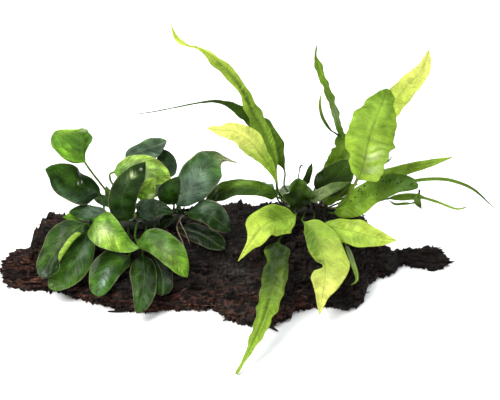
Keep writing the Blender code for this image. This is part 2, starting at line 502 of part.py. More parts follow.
def leaf(collection, name, row, rhizome_path, rhizome_radius, stalk_radius, thickness, finish):
    """One leaf, its stalk and its blade in one piece."""
    if "sprout" in row:
        foot, out = sprout_of(rhizome_path, rhizome_radius, *row["sprout"])
        start = [foot, foot + out * STALK_LIFT]
    else:
        start = [Vector(row["foot"])]
    path, marks = smooth_path([*start, *row["stalk"], *row["blade"]])
    base = marks[len(start) + len(row["stalk"])]
    length = marks[-1] - base
    face = Vector(row["face"]).normalized()
    width = max(sum(half_widths(row, i / WIDTH_STEPS)) for i in range(WIDTH_STEPS + 1))
    stalk_radius = min(stalk_radius, max(0.35, 0.3 * width))
    rings = []
    stalk_count = max(1, round(base / STALK_STEP))
    for i in range(stalk_count):
        centre, direction = walk(path, base * i / stalk_count)
        rings.append(blade_ring(centre, direction, face, (stalk_radius, stalk_radius), stalk_radius, 0.0))
    for share in blade_stations(length, width):
        centre, direction = walk(path, base + length * share)
        flat = min(1.0, share / 0.07)
        least = max(stalk_radius * (1 - flat), TIP_RADIUS)
        widths = [max(half, least) for half in half_widths(row, share)]
        half_thickness = stalk_radius + (thickness / 2 - stalk_radius) * flat
        rings.append(blade_ring(centre, direction, face, widths, min(half_thickness, *widths), flat))
    return add_object(collection, name, rings, finish)


def main():
    collection = part_collection()
    wood_finish = material("dark_driftwood", (0.03, 0.02, 0.017), 0.85)
    anubias_finish = material("anubias_leaf", (0.05, 0.14, 0.03), 0.35)
    fern_finish = material("fern_leaf", (0.22, 0.42, 0.05), 0.45)
    stem_finish = material("rhizome", (0.07, 0.09, 0.03), 0.6)

    wood = driftwood(collection, wood_finish)
    bm = bmesh.new()
    bm.from_mesh(wood.data)
    tree = BVHTree.FromBMesh(bm)
    bm.free()

    anubias_path = rhizome(
        collection, "anubias_rhizome", ANUBIAS_CREEP, ANUBIAS_RHIZOME_RADIUS, tree, stem_finish
    )
    fern_path = rhizome(collection, "fern_rhizome", FERN_CREEP, FERN_RHIZOME_RADIUS, tree, stem_finish)
    for i, row in enumerate(ANUBIAS_LEAVES, start=1):
        leaf(collection, f"anubias_leaf_{i:02d}", row, anubias_path, ANUBIAS_RHIZOME_RADIUS,
             ANUBIAS_STALK_RADIUS, ANUBIAS_BLADE_THICKNESS, anubias_finish)
    for i, row in enumerate(FERN_LEAVES, start=1):
        leaf(collection, f"fern_leaf_{i:02d}", row, fern_path, FERN_RHIZOME_RADIUS,
             FERN_STALK_RADIUS, FERN_BLADE_THICKNESS, fern_finish)
    for i, row in enumerate(PLANTLET_LEAVES, start=1):
        leaf(collection, f"fern_plantlet_leaf_{i:02d}", row, fern_path, FERN_RHIZOME_RADIUS,
             FERN_STALK_RADIUS, FERN_BLADE_THICKNESS, fern_finish)


main()
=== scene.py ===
import math

import bmesh
import bpy
import numpy as np
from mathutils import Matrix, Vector, noise
from mathutils.bvhtree import BVHTree


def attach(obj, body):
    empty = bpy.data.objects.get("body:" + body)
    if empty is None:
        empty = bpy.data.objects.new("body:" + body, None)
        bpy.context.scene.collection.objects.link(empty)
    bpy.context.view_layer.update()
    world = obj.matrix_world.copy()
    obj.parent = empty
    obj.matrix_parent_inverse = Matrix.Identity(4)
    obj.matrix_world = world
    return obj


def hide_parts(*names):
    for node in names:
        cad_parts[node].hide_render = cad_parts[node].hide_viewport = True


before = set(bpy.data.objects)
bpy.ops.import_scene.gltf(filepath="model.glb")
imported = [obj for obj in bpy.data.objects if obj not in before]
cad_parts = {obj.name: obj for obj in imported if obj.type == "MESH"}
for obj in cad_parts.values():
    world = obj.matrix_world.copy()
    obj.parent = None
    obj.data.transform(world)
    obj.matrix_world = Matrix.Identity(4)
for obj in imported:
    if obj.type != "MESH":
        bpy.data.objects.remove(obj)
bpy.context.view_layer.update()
mm = 0.001


# palette, sRGB 0 to 255 as a painter mixes it; slate and steel are painted grey-blue sheen, white is a
# painted highlight, and pale, glow and sage give painted highlights and sheen in some patches
paint = {
    "pitch": (22, 36, 12), "deep": (34, 56, 18), "forest": (50, 82, 26), "grass": (74, 112, 36),
    "bright": (100, 142, 40), "lime": (148, 182, 70), "glow": (212, 228, 160), "sheenSlate": (72, 92, 72),
    "sheenSteel": (108, 126, 112), "sage": (118, 140, 92), "moss": (58, 86, 24), "shade": (34, 50, 16),
    "leaf": (98, 130, 38), "fresh": (142, 174, 58), "yellow": (182, 202, 78), "straw": (218, 222, 112),
    "withered": (176, 166, 130), "dull": (120, 138, 92), "pale": (200, 214, 156), "olive": (96, 112, 44),
    "bramble": (26, 18, 16), "highlightWhite": (236, 240, 222),
}


def linear(name):
    return np.array([(c / 255) ** 2.2 for c in paint[name]])


def smoothstep(low, high, x):
    t = np.clip((x - low) / (high - low), 0, 1)
    return t * t * (3 - 2 * t)


def catmull(points, steps=14):
    # a dense smooth path through the points, and how far along it each point is
    p = np.array(points, float)
    p = np.vstack([2 * p[0] - p[1], p, 2 * p[-1] - p[-2]])
    t = np.linspace(0, 1, steps + 1)[1:, None]
    path = [p[1:2]]
    for a, b, c, d in zip(p, p[1:], p[2:], p[3:]):
        bend = (2 * a - 5 * b + 4 * c - d) * t**2 + (3 * b - a - 3 * c + d) * t**3
        path.append(0.5 * (2 * b + (c - a) * t + bend))
    path = np.vstack(path)
    far = np.concatenate([[0], np.cumsum(np.linalg.norm(np.diff(path, axis=0), axis=1))])
    return path, far, far[::steps]


def unit(v):
    return v / np.maximum(np.linalg.norm(v, axis=-1, keepdims=True), 1e-9)


def eased(x, places, values):
    # reads a table with a smooth curve that never swings past its own values
    steps = np.diff(places)
    slopes = np.diff(values) / steps
    inner = np.where(slopes[1:] * slopes[:-1] > 0, 2 * slopes[1:] * slopes[:-1], 0)
    inner = inner / np.where(inner == 0, 1, slopes[1:] + slopes[:-1])
    bend = np.concatenate([slopes[:1], inner, slopes[-1:]])
    i = np.clip(np.searchsorted(places, x, "right") - 1, 0, len(steps) - 1)
    t = np.clip((x - places[i]) / steps[i], 0, 1)
    held = values[i] * (1 + 2 * t) * (1 - t) ** 2 + values[i + 1] * t**2 * (3 - 2 * t)
    return held + steps[i] * (bend[i] * t * (1 - t) ** 2 - bend[i + 1] * t**2 * (1 - t))


def sineNoise(rng, x, y, count, low, high):
    # a smooth random field made of a few waves, about -1 to 1
    total = 0
    for _ in range(count):
        turn, pace, start = rng.uniform(0, math.pi), rng.uniform(low, high), rng.uniform(0, 2 * math.pi)
        total = total + np.sin(2 * math.pi * pace * (x * math.cos(turn) + y * math.sin(turn)) + start)
    return total / math.sqrt(count)


def newObject(name, mesh):
    made = bpy.data.objects.new(name, mesh)
    bpy.context.scene.collection.objects.link(made)
    return made


def gridObject(name, points, material, capped=True, uvs=None, fields=None):
    # a skin over rows of closed rings; fields are named values at the points
    rows, ring = points.shape[:2]
    a = (np.arange(rows - 1)[:, None] * ring + np.arange(ring)[None]).ravel()
    b = (np.arange(rows - 1)[:, None] * ring + (np.arange(ring) + 1)[None] % ring).ravel()
    faces = np.stack([a, b, b + ring, a + ring], 1).tolist()
    if capped:
        faces.append(list(range(ring - 1, -1, -1)))
        faces.append([(rows - 1) * ring + i for i in range(ring)])
    mesh = bpy.data.meshes.new(name)
    mesh.from_pydata((points.reshape(-1, 3) * mm).tolist(), [], faces)
    mesh.materials.append(material)
    for key, values in (fields or {}).items():
        flat = np.ascontiguousarray(values, np.float32).ravel()
        if values.ndim == 3:
            mesh.attributes.new(key, "FLOAT_COLOR", "POINT").data.foreach_set("color", flat)
        else:
            mesh.attributes.new(key, "FLOAT", "POINT").data.foreach_set("value", flat)
    if uvs is not None:
        corner = np.zeros(len(mesh.loops), np.int32)
        mesh.loops.foreach_get("vertex_index", corner)
        layer = mesh.uv_layers.new(name="grown")
        layer.data.foreach_set("uv", uvs.reshape(-1, 2)[corner].astype(np.float32).ravel())
    mesh.shade_smooth()
    return newObject(name, mesh)


def finishPiece(piece, slot, *nodes):
    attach(piece, "root")
    if nodes:
        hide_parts(*nodes)


class Tree:
    # short calls for building a node tree
    def __init__(self, tree):
        self.tree = tree

    def add(self, kind, inputs=None, **settings):
        node = self.tree.nodes.new(kind)
        for key, value in settings.items():
            setattr(node, key, value)
        for key, value in (inputs or {}).items():
            self.put(node, key, value)
        return node

    def put(self, node, key, value):
        if isinstance(value, bpy.types.NodeSocket):
            self.tree.links.new(value, node.inputs[key])
        else:
            node.inputs[key].default_value = value

    def math(self, operation, a, b=0.0, clamp=False):
        node = self.add("ShaderNodeMath", {0: a, 1: b}, operation=operation, use_clamp=clamp)
        return node.outputs[0]

    def ramp(self, factor, *stops):
        node = self.add("ShaderNodeValToRGB", {"Fac": factor})
        band = node.color_ramp.elements
        for i, (place, color) in enumerate(stops):
            stop = band[i] if i < 2 else band.new(place)
            stop.position = place
            stop.color = (*color, 1) if len(color) == 3 else color
        return node.outputs["Color"]

    def mask(self, factor, low, high):
        node = self.add("ShaderNodeMapRange", {"Value": factor, "From Min": low, "From Max": high})
        node.interpolation_type = "SMOOTHSTEP"
        return node.outputs["Result"]

    def mix(self, factor, a, b, blend="MIX"):
        node = self.add("ShaderNodeMix", data_type="RGBA", blend_type=blend)
        self.put(node, 0, factor)
        self.put(node, 6, a)
        self.put(node, 7, b)
        return node.outputs[2]

    def multiplied(self, a, b):
        return self.mix(1.0, a, b, "MULTIPLY")

    def weighted(self, *parts):
        # the sum of several values, each times its weight
        total = 0.0
        for value, weight in parts:
            total = self.math("ADD", self.math("MULTIPLY", value, weight), total)
        return total

    def noise(self, vector, scale, detail=3.0, rough=0.55, distortion=0.0):
        inputs = {"Vector": vector, "Scale": scale, "Detail": detail}
        inputs.update({"Roughness": rough, "Distortion": distortion})
        return self.add("ShaderNodeTexNoise", inputs).outputs["Fac"]

    def grained(self, vector, stretch, *settings):
        # noise drawn out along the wood
        drawn = self.add("ShaderNodeMapping", {"Vector": vector, "Scale": (stretch, 1.0, 1.0)})
        return self.noise(drawn.outputs["Vector"], *settings)

    def field(self, name, output="Fac"):
        return self.add("ShaderNodeAttribute", attribute_name=name).outputs[output]

    def relief(self, height, strength, depth):
        inputs = {"Height": height, "Strength": strength, "Distance": depth}
        return self.add("ShaderNodeBump", inputs).outputs["Normal"]


def newMaterial(name):
    made = bpy.data.materials.new(name)
    made.use_nodes = True
    t = Tree(made.node_tree)
    shader = made.node_tree.nodes["Principled BSDF"]
    spot = t.add("ShaderNodeTexCoord").outputs["Object"]
    return made, t, shader, spot


def grey(value):
    return (value, value, value, 1)


# a pattern is its noise's scale, detail and roughness; a band is where a mask of it begins and ends
leafLook = {
    "veinEdge": 0.3, "ribCore": 0.3, "rayAlong": 1.3, "rayAcross": 0.09, "ray": (1.6, 5.0, 0.68),
    "rayBand": (0.34, 0.66), "cloudBand": (0.36, 0.64), "speckBand": (0.35, 0.7),
    "speckDark": (0.86, 0.86, 0.84, 1), "speckLight": (1.12, 1.12, 1.08, 1), "roughSwing": 0.12,
    "waveRelief": 0.3, "rayRelief": 0.9, "speckRelief": 0.3, "ribRelief": -0.5, "reliefDepth": 0.7 * mm,
}
anubiasLook = {
    **leafLook, "vein": (0.08, 0.14, 0.04, 1), "veinShare": 0.06, "rib": (0.09, 0.15, 0.04, 1),
    "ribShare": 0.16, "ribWidth": 0.6, "rayDark": grey(0.72), "rayLight": grey(1.3),
    "cloud": (150.0, 5.0, 0.6), "cloudDark": grey(0.7), "cloudLight": grey(1.16), "speck": (1100.0, 2.0),
    "roughness": 0.3, "specular": 0.08, "coat": 0.03, "coatRoughness": 0.1, "bump": 0.34,
}
fernLook = {
    **leafLook, "vein": (0.12, 0.17, 0.025, 1), "veinShare": 0.13, "rib": (0.09, 0.095, 0.02, 1),
    "ribShare": 0.3, "ribWidth": 0.4, "rayDark": grey(0.88), "rayLight": grey(1.13),
    "cloud": (190.0, 5.0, 0.6), "cloudDark": grey(0.88), "cloudLight": grey(1.07), "speck": (1500.0, 2.0),
    "roughness": 0.35, "specular": 0.11, "coat": 0.0, "coatRoughness": 0.2, "bump": 0.5,
}


def leafMaterial(name, look):
    # tint comes with the mesh; rays along the veins, clouds and fine grain are added here
    made, t, shader, spot = newMaterial(name)
    phase, reach = t.field("veinPhase"), t.field("ribReach")
    wave = t.math("ABSOLUTE", t.math("SINE", t.math("MULTIPLY", phase, math.pi)))
    vein = t.math("SUBTRACT", 1.0, t.mask(wave, 0.0, look["veinEdge"]))
    core = look["ribCore"] * look["ribWidth"]
    rib = t.math("SUBTRACT", 1.0, t.mask(reach, core, look["ribWidth"]))
    drawn = {0: t.math("MULTIPLY", phase, look["rayAlong"]), 1: t.math("MULTIPLY", reach, look["rayAcross"]),
             2: t.field("leafSeed")}
    patterns = {
        "cloud": t.noise(spot, *look["cloud"]),
        "ray": t.noise(t.add("ShaderNodeCombineXYZ", drawn).outputs[0], *look["ray"]),
        "speck": t.noise(spot, *look["speck"]),
    }
    color = t.field("tint", "Color")
    for key, pattern in patterns.items():
        band = t.mask(pattern, *look[f"{key}Band"])
        color = t.multiplied(color, t.mix(band, look[f"{key}Dark"], look[f"{key}Light"]))
    cloud, ray, speck = patterns.values()
    share = t.math("MULTIPLY", vein, t.math("MULTIPLY", cloud, 2 * look["veinShare"]))
    color = t.mix(share, color, look["vein"])
    color = t.mix(t.math("MULTIPLY", rib, look["ribShare"]), color, look["rib"])
    t.put(shader, "Base Color", color)
    swing = t.math("MULTIPLY", t.math("ADD", cloud, ray), look["roughSwing"])
    t.put(shader, "Roughness", t.math("ADD", look["roughness"] - look["roughSwing"], swing))
    height = t.weighted((wave, look["waveRelief"]), (ray, look["rayRelief"]), (speck, look["speckRelief"]),
                        (rib, look["ribRelief"]))
    t.put(shader, "Normal", t.relief(height, look["bump"], look["reliefDepth"]))
    shader.inputs["Coat Weight"].default_value = look["coat"]
    shader.inputs["Coat Roughness"].default_value = look["coatRoughness"]
    shader.inputs["Specular IOR Level"].default_value = look["specular"]
    return made


# here a pattern starts with how far it is drawn out along the wood
woodLook = {
    "grain": (0.2, 480.0, 6.0, 0.66, 0.6), "patch": (0.4, 70.0, 4.0), "fine": (0.35, 1500.0, 3.0, 0.6),
    "fibre": (0.2, 560.0, 6.0, 0.68, 0.9), "stain": (0.4, 210.0, 6.0, 0.7), "fleck": (0.45, 620.0, 3.0, 0.55),
    "darkTones": ((0.3, (0.0025, 0.002, 0.0018)), (0.5, (0.009, 0.0075, 0.0062)),
                  (0.62, (0.028, 0.021, 0.016)), (0.76, (0.1, 0.075, 0.055))),
    "greyTones": ((0.3, (0.007, 0.0065, 0.006)), (0.68, (0.06, 0.055, 0.048))),
    "fibreTones": ((0.32, (0.012, 0.004, 0.003)), (0.5, (0.06, 0.018, 0.011)),
                   (0.62, (0.17, 0.06, 0.036)), (0.74, (0.34, 0.17, 0.11))),
    # the crack band and tone are painted shade in the cracks; the fleck band, share and tone are light flecks
    # painted as glints
    "greyBand": (0.54, 0.68), "rustBand": (0.42, 0.58), "glintFleckBand": (0.66, 0.74), "crackShadeBand": (0.2, 0.95),
    "glintFleckTone": (0.2, 0.15, 0.11, 1), "glintFleckShare": 0.4, "crackShadeTone": (0.22, 0.2, 0.18, 1),
    "roughness": 0.5, "roughSwing": 0.5, "specular": 0.18, "grainRelief": 0.8, "fineRelief": 0.4,
    "bump": 1.0, "reliefDepth": 2 * mm,
}


def woodMaterial(look):
    # near black with brown grain, grey patches, rusty torn fibres, a few light flecks as painted glints, and
    # painted shade deep in the cracks
    made, t, shader, spot = newMaterial("soakedWood")
    grain, fine = t.grained(spot, *look["grain"]), t.grained(spot, *look["fine"])
    dark, light = t.ramp(grain, *look["darkTones"]), t.ramp(grain, *look["greyTones"])
    color = t.mix(t.mask(t.grained(spot, *look["patch"]), *look["greyBand"]), dark, light)
    stain = t.mask(t.grained(spot, *look["stain"]), *look["rustBand"])
    fibre = t.ramp(t.grained(spot, *look["fibre"]), *look["fibreTones"])
    color = t.mix(t.math("MULTIPLY", t.field("rust"), stain), color, fibre)
    # light flecks painted as glints
    fleck = t.mask(t.grained(spot, *look["fleck"]), *look["glintFleckBand"])
    color = t.mix(t.math("MULTIPLY", fleck, look["glintFleckShare"]), color, look["glintFleckTone"])
    # painted shade: the colour darkens deep in the cracks
    crackShade = t.mask(t.field("creviceShade"), *look["crackShadeBand"])
    t.put(shader, "Base Color", t.mix(crackShade, color, t.multiplied(color, look["crackShadeTone"])))
    swing = t.math("MULTIPLY", fine, look["roughSwing"])
    t.put(shader, "Roughness", t.math("ADD", look["roughness"], swing))
    height = t.weighted((grain, look["grainRelief"]), (fine, look["fineRelief"]))
    t.put(shader, "Normal", t.relief(height, look["bump"], look["reliefDepth"]))
    shader.inputs["Specular IOR Level"].default_value = look["specular"]
    return made


stemLook = {  # dark tone, light tone and roughness of each skin
    "rhizome": ((0.004, 0.005, 0.0025), (0.02, 0.021, 0.009), 0.85),
    "paleRoot": ((0.09, 0.05, 0.035), (0.24, 0.16, 0.11), 0.5),
    "fernRoot": ((0.008, 0.005, 0.004), (0.035, 0.02, 0.014), 0.7),
    "spore": ((0.008, 0.01, 0.003), (0.02, 0.028, 0.008), 0.95),
    "tornFibre": ((0.012, 0.005, 0.004), (0.13, 0.055, 0.035), 0.75),
}
stemGrain = {"pattern": (700.0, 4.0, 0.6), "band": (0.3, 0.7), "bump": 0.6, "reliefDepth": 0.5 * mm}


def stemMaterial(name, low, high, roughness):
    made, t, shader, spot = newMaterial(name)
    grain = t.noise(spot, *stemGrain["pattern"])
    start, end = stemGrain["band"]
    t.put(shader, "Base Color", t.ramp(grain, (start, low), (end, high)))
    t.put(shader, "Normal", t.relief(grain, stemGrain["bump"], stemGrain["reliefDepth"]))
    shader.inputs["Roughness"].default_value = roughness
    return made


anubiasSkin = leafMaterial("anubiasLeaf", anubiasLook)
fernSkin = leafMaterial("fernFrond", fernLook)
woodSkin = woodMaterial(woodLook)
rhizomeSkin, rootSkin, hairSkin, sporeSkin, shredSkin = (
    stemMaterial(name, *tones) for name, tones in stemLook.items())
print("materials made")


def runNodes(host, name, inputs, build):
    # grows a plain mesh on the host with a node tree whose sizes are named inputs
    group = bpy.data.node_groups.new(name, "GeometryNodeTree")
    face = group.interface
    face.new_socket("Host", in_out="INPUT", socket_type="NodeSocketGeometry")
    for key, value in inputs.items():
        kind = "NodeSocketInt" if isinstance(value, int) else "NodeSocketFloat"
        face.new_socket(key, in_out="INPUT", socket_type=kind)
    face.new_socket("Grown", in_out="OUTPUT", socket_type="NodeSocketGeometry")
    t = Tree(group)
    source, sink = t.add("NodeGroupInput"), t.add("NodeGroupOutput")
    t.put(sink, 0, build(t, source.outputs))
    modifier = host.modifiers.new(name, "NODES")
    modifier.node_group = group
    for item in face.items_tree:
        if item.in_out == "INPUT" and item.name in inputs:
            modifier[item.identifier] = inputs[item.name]
    mesh = bpy.data.meshes.new_from_object(host.evaluated_get(bpy.context.evaluated_depsgraph_get()))
    host.modifiers.remove(modifier)
    spots = np.zeros(len(mesh.vertices) * 3, np.float32)
    mesh.vertices.foreach_get("co", spots)
    spots[2::3] = np.maximum(spots[2::3], 0.1 * mm)
    mesh.vertices.foreach_set("co", spots)
    mesh.name = name
    return newObject(name, mesh)


def scattered(t, given, field):
    # points on the host, as dense as a named field says
    share = t.add("GeometryNodeInputNamedAttribute", {"Name": field}, data_type="FLOAT").outputs[0]
    density = t.math("MULTIPLY", share, given["Density"])
    inputs = {"Mesh": given["Host"], "Density": density, "Seed": given["Seed"]}
    return t.add("GeometryNodeDistributePointsOnFaces", inputs)


def anyBetween(t, given, low, high):
    inputs = {0: low, 1: high, "Seed": given["Seed"]}
    return t.add("FunctionNodeRandomValue", inputs, data_type="FLOAT_VECTOR").outputs[0]


def planted(t, given, points, shape, turn, sizes, skin):
    # one shape at each point, turned and scaled, as real faces
    size = anyBetween(t, given, *sizes)
    inputs = {"Points": points, "Instance": shape, "Rotation": turn, "Scale": size}
    copies = t.add("GeometryNodeInstanceOnPoints", inputs).outputs[0]
    faces = t.add("GeometryNodeRealizeInstances", {"Geometry": copies}).outputs[0]
    return t.add("GeometryNodeSetMaterial", {"Geometry": faces, "Material": skin}).outputs[0]


def splinterNodes(t, given):
    # slivers that lie along the grain and lift a little off the wood
    sway = (-1, -0.4, -0.12), (1, 0.4, 0.4)
    sizes = (0.5, 0.5, 0.4), (1.5, 1.5, 1.7)
    points = scattered(t, given, "shred")
    inputs = {"Vertices": 4, "Radius Bottom": given["Width"], "Depth": given["Length"]}
    sliver = t.add("GeometryNodeMeshCone", inputs).outputs[0]
    parts = t.add("ShaderNodeSeparateXYZ", {0: anyBetween(t, given, *sway)}).outputs
    inputs = {0: t.math("SIGN", parts[0]), 1: parts[1], 2: parts[2]}
    way = t.add("ShaderNodeCombineXYZ", inputs).outputs[0]
    lift = t.add("ShaderNodeCombineXYZ", dict.fromkeys(range(3), given["Lift"])).outputs[0]
    inputs = {0: points.outputs["Normal"], 1: lift, 2: way}
    way = t.add("ShaderNodeVectorMath", inputs, operation="MULTIPLY_ADD").outputs[0]
    turn = t.add("FunctionNodeAlignRotationToVector", {"Vector": way}, axis="Z").outputs[0]
    return planted(t, given, points.outputs["Points"], sliver, turn, sizes, shredSkin)


def sporeNodes(t, given):
    # low round dots
    sizes = (0.6, 0.6, 0.3), (1.25, 1.25, 0.5)
    points = scattered(t, given, "spots")
    inputs = {"Segments": 8, "Rings": 5, "Radius": given["Radius"]}
    ball = t.add("GeometryNodeMeshUVSphere", inputs).outputs[0]
    return planted(t, given, points.outputs["Points"], ball, points.outputs["Rotation"], sizes, sporeSkin)


# driftwood: x, front edge y, back edge y, height, all in mm
woodPlan = (
    (-154, -1, 7, 6), (-152, -5, 9, 11), (-149, -8, 11, 14), (-145, -12, 14, 16), (-141, -13.5, 16, 17),
    (-136, -14.5, 17, 17.5), (-134, -15, 19, 19), (-133, -15, 28, 25), (-129.5, -15, 31, 26),
    (-128, -15, 38, 29), (-125, -15, 40, 29.5), (-123.5, -16, 44, 31), (-119, -17, 43, 30),
    (-112, -18, 43, 30), (-106, -22, 43, 29), (-104, -23, 43, 28), (-93, -27, 45, 29), (-86, -31, 46, 28),
    (-76, -37, 48, 28), (-65, -39, 49, 29), (-52, -41, 51, 29), (-40, -39, 52, 30),
    (-19, -38, 53, 32), (-9, -37, 54, 33), (-5, -41, 54, 34), (-1, -45, 54, 34), (1, -50, 54, 34),
    (6, -52, 55, 35), (14, -55, 53, 34), (22, -58, 53, 35), (30, -60, 52, 36), (34, -56, 51, 36),
    (40, -51, 51, 37), (44, -48, 51, 37), (47, -41, 51, 38), (54, -38, 50, 38), (61, -35, 49, 38),
    (67, -34, 48, 36), (74, -37, 46, 34), (83, -39, 45, 32), (89, -35, 43, 31), (93, -29, 41.5, 29.5),
    (96, -21, 40, 28), (98, -10, 38.5, 26.5), (101, -5, 35, 24), (105, 1, 29, 20), (110, 2, 23, 15),
    (115, 4, 20, 13), (118, 8, 21, 12), (120, 14, 22, 11), (125, 17, 22.5, 10.5), (130, 14, 22.5, 12),
    (138, 12, 22, 12.5), (145, 9.5, 23, 13), (149, 10, 22, 12), (152, 12, 21, 10), (154, 14, 19, 6),
)
woodSection = (
    (0.0, 0.0), (-0.01, 0.14), (0.03, 0.29), (0.09, 0.33), (0.12, 0.48), (0.21, 0.55), (0.25, 0.69),
    (0.35, 0.76), (0.39, 0.89), (0.51, 0.95), (0.62, 1.0), (0.74, 0.95), (0.85, 0.98), (0.95, 0.89),
    (0.99, 0.52), (1.0, 0.0), (0.66, 0.0), (0.33, 0.0), (0.0, 0.0),
)
wood = {
    "stations": 470, "around": 192, "topShare": 2.2, "seed": 11.0,
    "lumps": 1.5, "layers": 1.5, "layerGap": 3.6, "ridges": 1.3, "grain": 0.7, "pits": 1.2,
    "ragged": 1.7, "torn": 3.2, "endRag": 6.5, "endInset": 0.22, "leftRag": 24, "rightRag": 14,
    "fullHeight": 24, "endTaper": 6, "endLeft": 0.25, "underside": 0.02, "undersideShare": 0.35, "top": 0.8,
    "knobs": ((9.5, 43, 1.8, 5.5), (15, 46, 2.6, 2.4), (27, 44, 3.5, 3.0), (34, 40, 2.2, 3.4),
              (91, 34, 2.5, 2.6)),  # x, y, half width and height
    "splinters": {"Density": 12000.0, "Width": 0.55 * mm, "Length": 3.4 * mm, "Lift": 0.2, "Seed": 4},
}
rusty = {  # where the torn rusty fibres begin to fade, and over how far
    "low": (6, 9), "front": (0.06, 0.16), "stop": 62, "leftEnd": (104, 18), "leftTop": (16, 10),
    "leftShare": 0.85, "middle": (14, 24), "middleFront": (0.08, 0.18), "middleShare": 0.8,
    "anywhere": 0.07, "flecks": 0.3, "shred": 0.12,
}


def fractal(x, y, z, octaves=3):
    return noise.fractal(Vector((x, y, z)), 0.6, 2.1, octaves)


def rising(value, start, span):
    return min(1.0, max(0.0, (value - start) / span))


def barkHeight(x, y, z):
    # how far the bark stands out at a place, and how deep in a crack the place is, which sets the painted
    # shade in the cracks
    seed = wood["seed"]
    lump = fractal(x * 0.03 + seed, y * 0.06, z * 0.06)
    layer = (z + 0.3 * y) / wood["layerGap"] + 2.2 * fractal(x * 0.02, y * 0.06, seed)
    ledge = (layer % 1.0) ** 1.7
    ridge = 1 - abs(fractal(x * 0.03, y * 0.3 + seed, z * 0.3, 4)) * 3.2
    grain = fractal(x * 0.13, y * 0.9, z * 0.9 + seed, 3)
    pit = max(0.0, noise.noise(Vector((x * 0.12, y * 0.3, z * 0.3 + 2 * seed))) - 0.22) * 4
    out = wood["lumps"] * lump + wood["layers"] * (ledge - 0.5)
    out += wood["ridges"] * (max(ridge, -0.6) - 0.3) + wood["grain"] * 2 * grain
    out -= wood["pits"] * min(pit, 1.6)
    return out, min(1.0, max(0.0, 0.55 - 0.5 * ridge + 0.5 * min(pit, 1.2) - 0.5 * grain))


def rustAt(x, y, z, deep):
    # low down in front, at the left end, on the middle of the front edge and in flecks
    low = (1 - rising(z, *rusty["low"])) * (1 - rising(deep, *rusty["front"])) * (x < rusty["stop"])
    leftEnd = rising(-x, *rusty["leftEnd"]) * (1 - 0.5 * rising(z, *rusty["leftTop"]))
    at, wide = rusty["middle"]
    middle = math.exp(-(((x - at) / wide) ** 2)) * (1 - rising(deep, *rusty["middleFront"]))
    fleck = rusty["anywhere"] + rusty["flecks"] * max(0.0, fractal(x * 0.04, y * 0.1, z * 0.1 + 5))
    return min(1.0, max(low, rusty["leftShare"] * leftEnd, rusty["middleShare"] * middle, fleck))


def woodRing(x, plan, deep, high):
    # the outline across the wood at a station, which way it faces and its height
    front, back, height = (np.interp(x, plan[:, 0], plan[:, k]) for k in (1, 2, 3))
    front += 0.6 * wood["ragged"] * fractal(x * 0.17, 3.1, 0, 2)
    back += wood["ragged"] * fractal(x * 0.25, 9.4, 0, 3)
    height += 0.25 * wood["torn"] * fractal(x * 0.5, 1.4, 0, 3)
    tear = wood["torn"] * fractal(x * 0.6, 7.7, 0, 3) * np.clip(1 - 5 * high, 0, 1) * (deep < 0.3)
    ys, zs = front + (back - front) * deep + tear, height * high
    out = np.stack([np.roll(zs, 2) - np.roll(zs, -2), np.roll(ys, -2) - np.roll(ys, 2)], 1)
    return ys, zs, out / np.maximum(np.linalg.norm(out, axis=1, keepdims=True), 1e-6), height


def endSlide(x, y, z, ends):
    # how far the broken ends are pushed in or out along the wood
    left, right = ends
    share = max(0.0, 1 - (x - left) / wood["leftRag"], 1 - (right - x) / wood["rightRag"])
    inward = 1 if x < 0 else -1
    chip = inward * wood["endInset"] + fractal(y * 0.3, z * 0.42, wood["seed"] + inward)
    return wood["endRag"] * share * chip


def makeWood():
    plan, section = np.array(woodPlan, float), np.array(woodSection, float)
    xs = np.linspace(plan[0, 0], plan[-1, 0], wood["stations"])
    steps = np.diff(section * (wood["topShare"], 1), axis=0)
    reach = np.concatenate([[0], np.cumsum(np.linalg.norm(steps, axis=1))])
    turn = np.linspace(0, reach[-1], wood["around"], endpoint=False)
    deep, high = np.interp(turn, reach, section[:, 0]), np.interp(turn, reach, section[:, 1])
    points = np.zeros((len(xs), len(turn), 3))
    rust, creviceShade, shred = (np.zeros(points.shape[:2]) for _ in range(3))
    for i, x in enumerate(xs):
        ys, zs, out, height = woodRing(x, plan, deep, high)
        fromEnds = min(x - xs[0], xs[-1] - x) / wood["endTaper"] + wood["endLeft"]
        slim = min(1.0, height / wood["fullHeight"], fromEnds)
        along = 0.2 if 0 < i < len(xs) - 1 else 0
        for j, (y, z) in enumerate(zip(ys, zs)):
            raised = high[j] > wood["underside"]
            bulge, creviceShade[i, j] = barkHeight(x, y, z)
            bulge *= slim * (wood["undersideShare"] if high[j] < wood["underside"] else 1.0)
            for atX, atY, wide, tall in wood["knobs"] if high[j] > wood["top"] else ():
                bulge += tall * math.exp(-(((x - atX) / wide) ** 2) - ((y - atY) / (1.6 * wide)) ** 2)
            points[i, j] = (x + endSlide(x, y, z, (xs[0], xs[-1])) + along * bulge, y + out[j, 0] * bulge,
                            max(z + out[j, 1] * bulge * raised, 0.0))
            rust[i, j] = rustAt(x, y, z, deep[j])
            outward = raised or deep[j] < wood["underside"]
            shred[i, j] = outward * min(1.0, rusty["shred"] + rust[i, j])
    fields = {"rust": rust, "creviceShade": creviceShade, "shred": shred}
    made = gridObject("driftwood_bark", points, woodSkin, fields=fields)
    mesh = bmesh.new()
    mesh.from_mesh(made.data)
    bmesh.ops.recalc_face_normals(mesh, faces=mesh.faces)
    bmesh.ops.triangulate(mesh, faces=[f for f in mesh.faces if len(f.verts) > 4])
    mesh.to_mesh(made.data)
    mesh.free()
    made.data.shade_smooth()
    return made


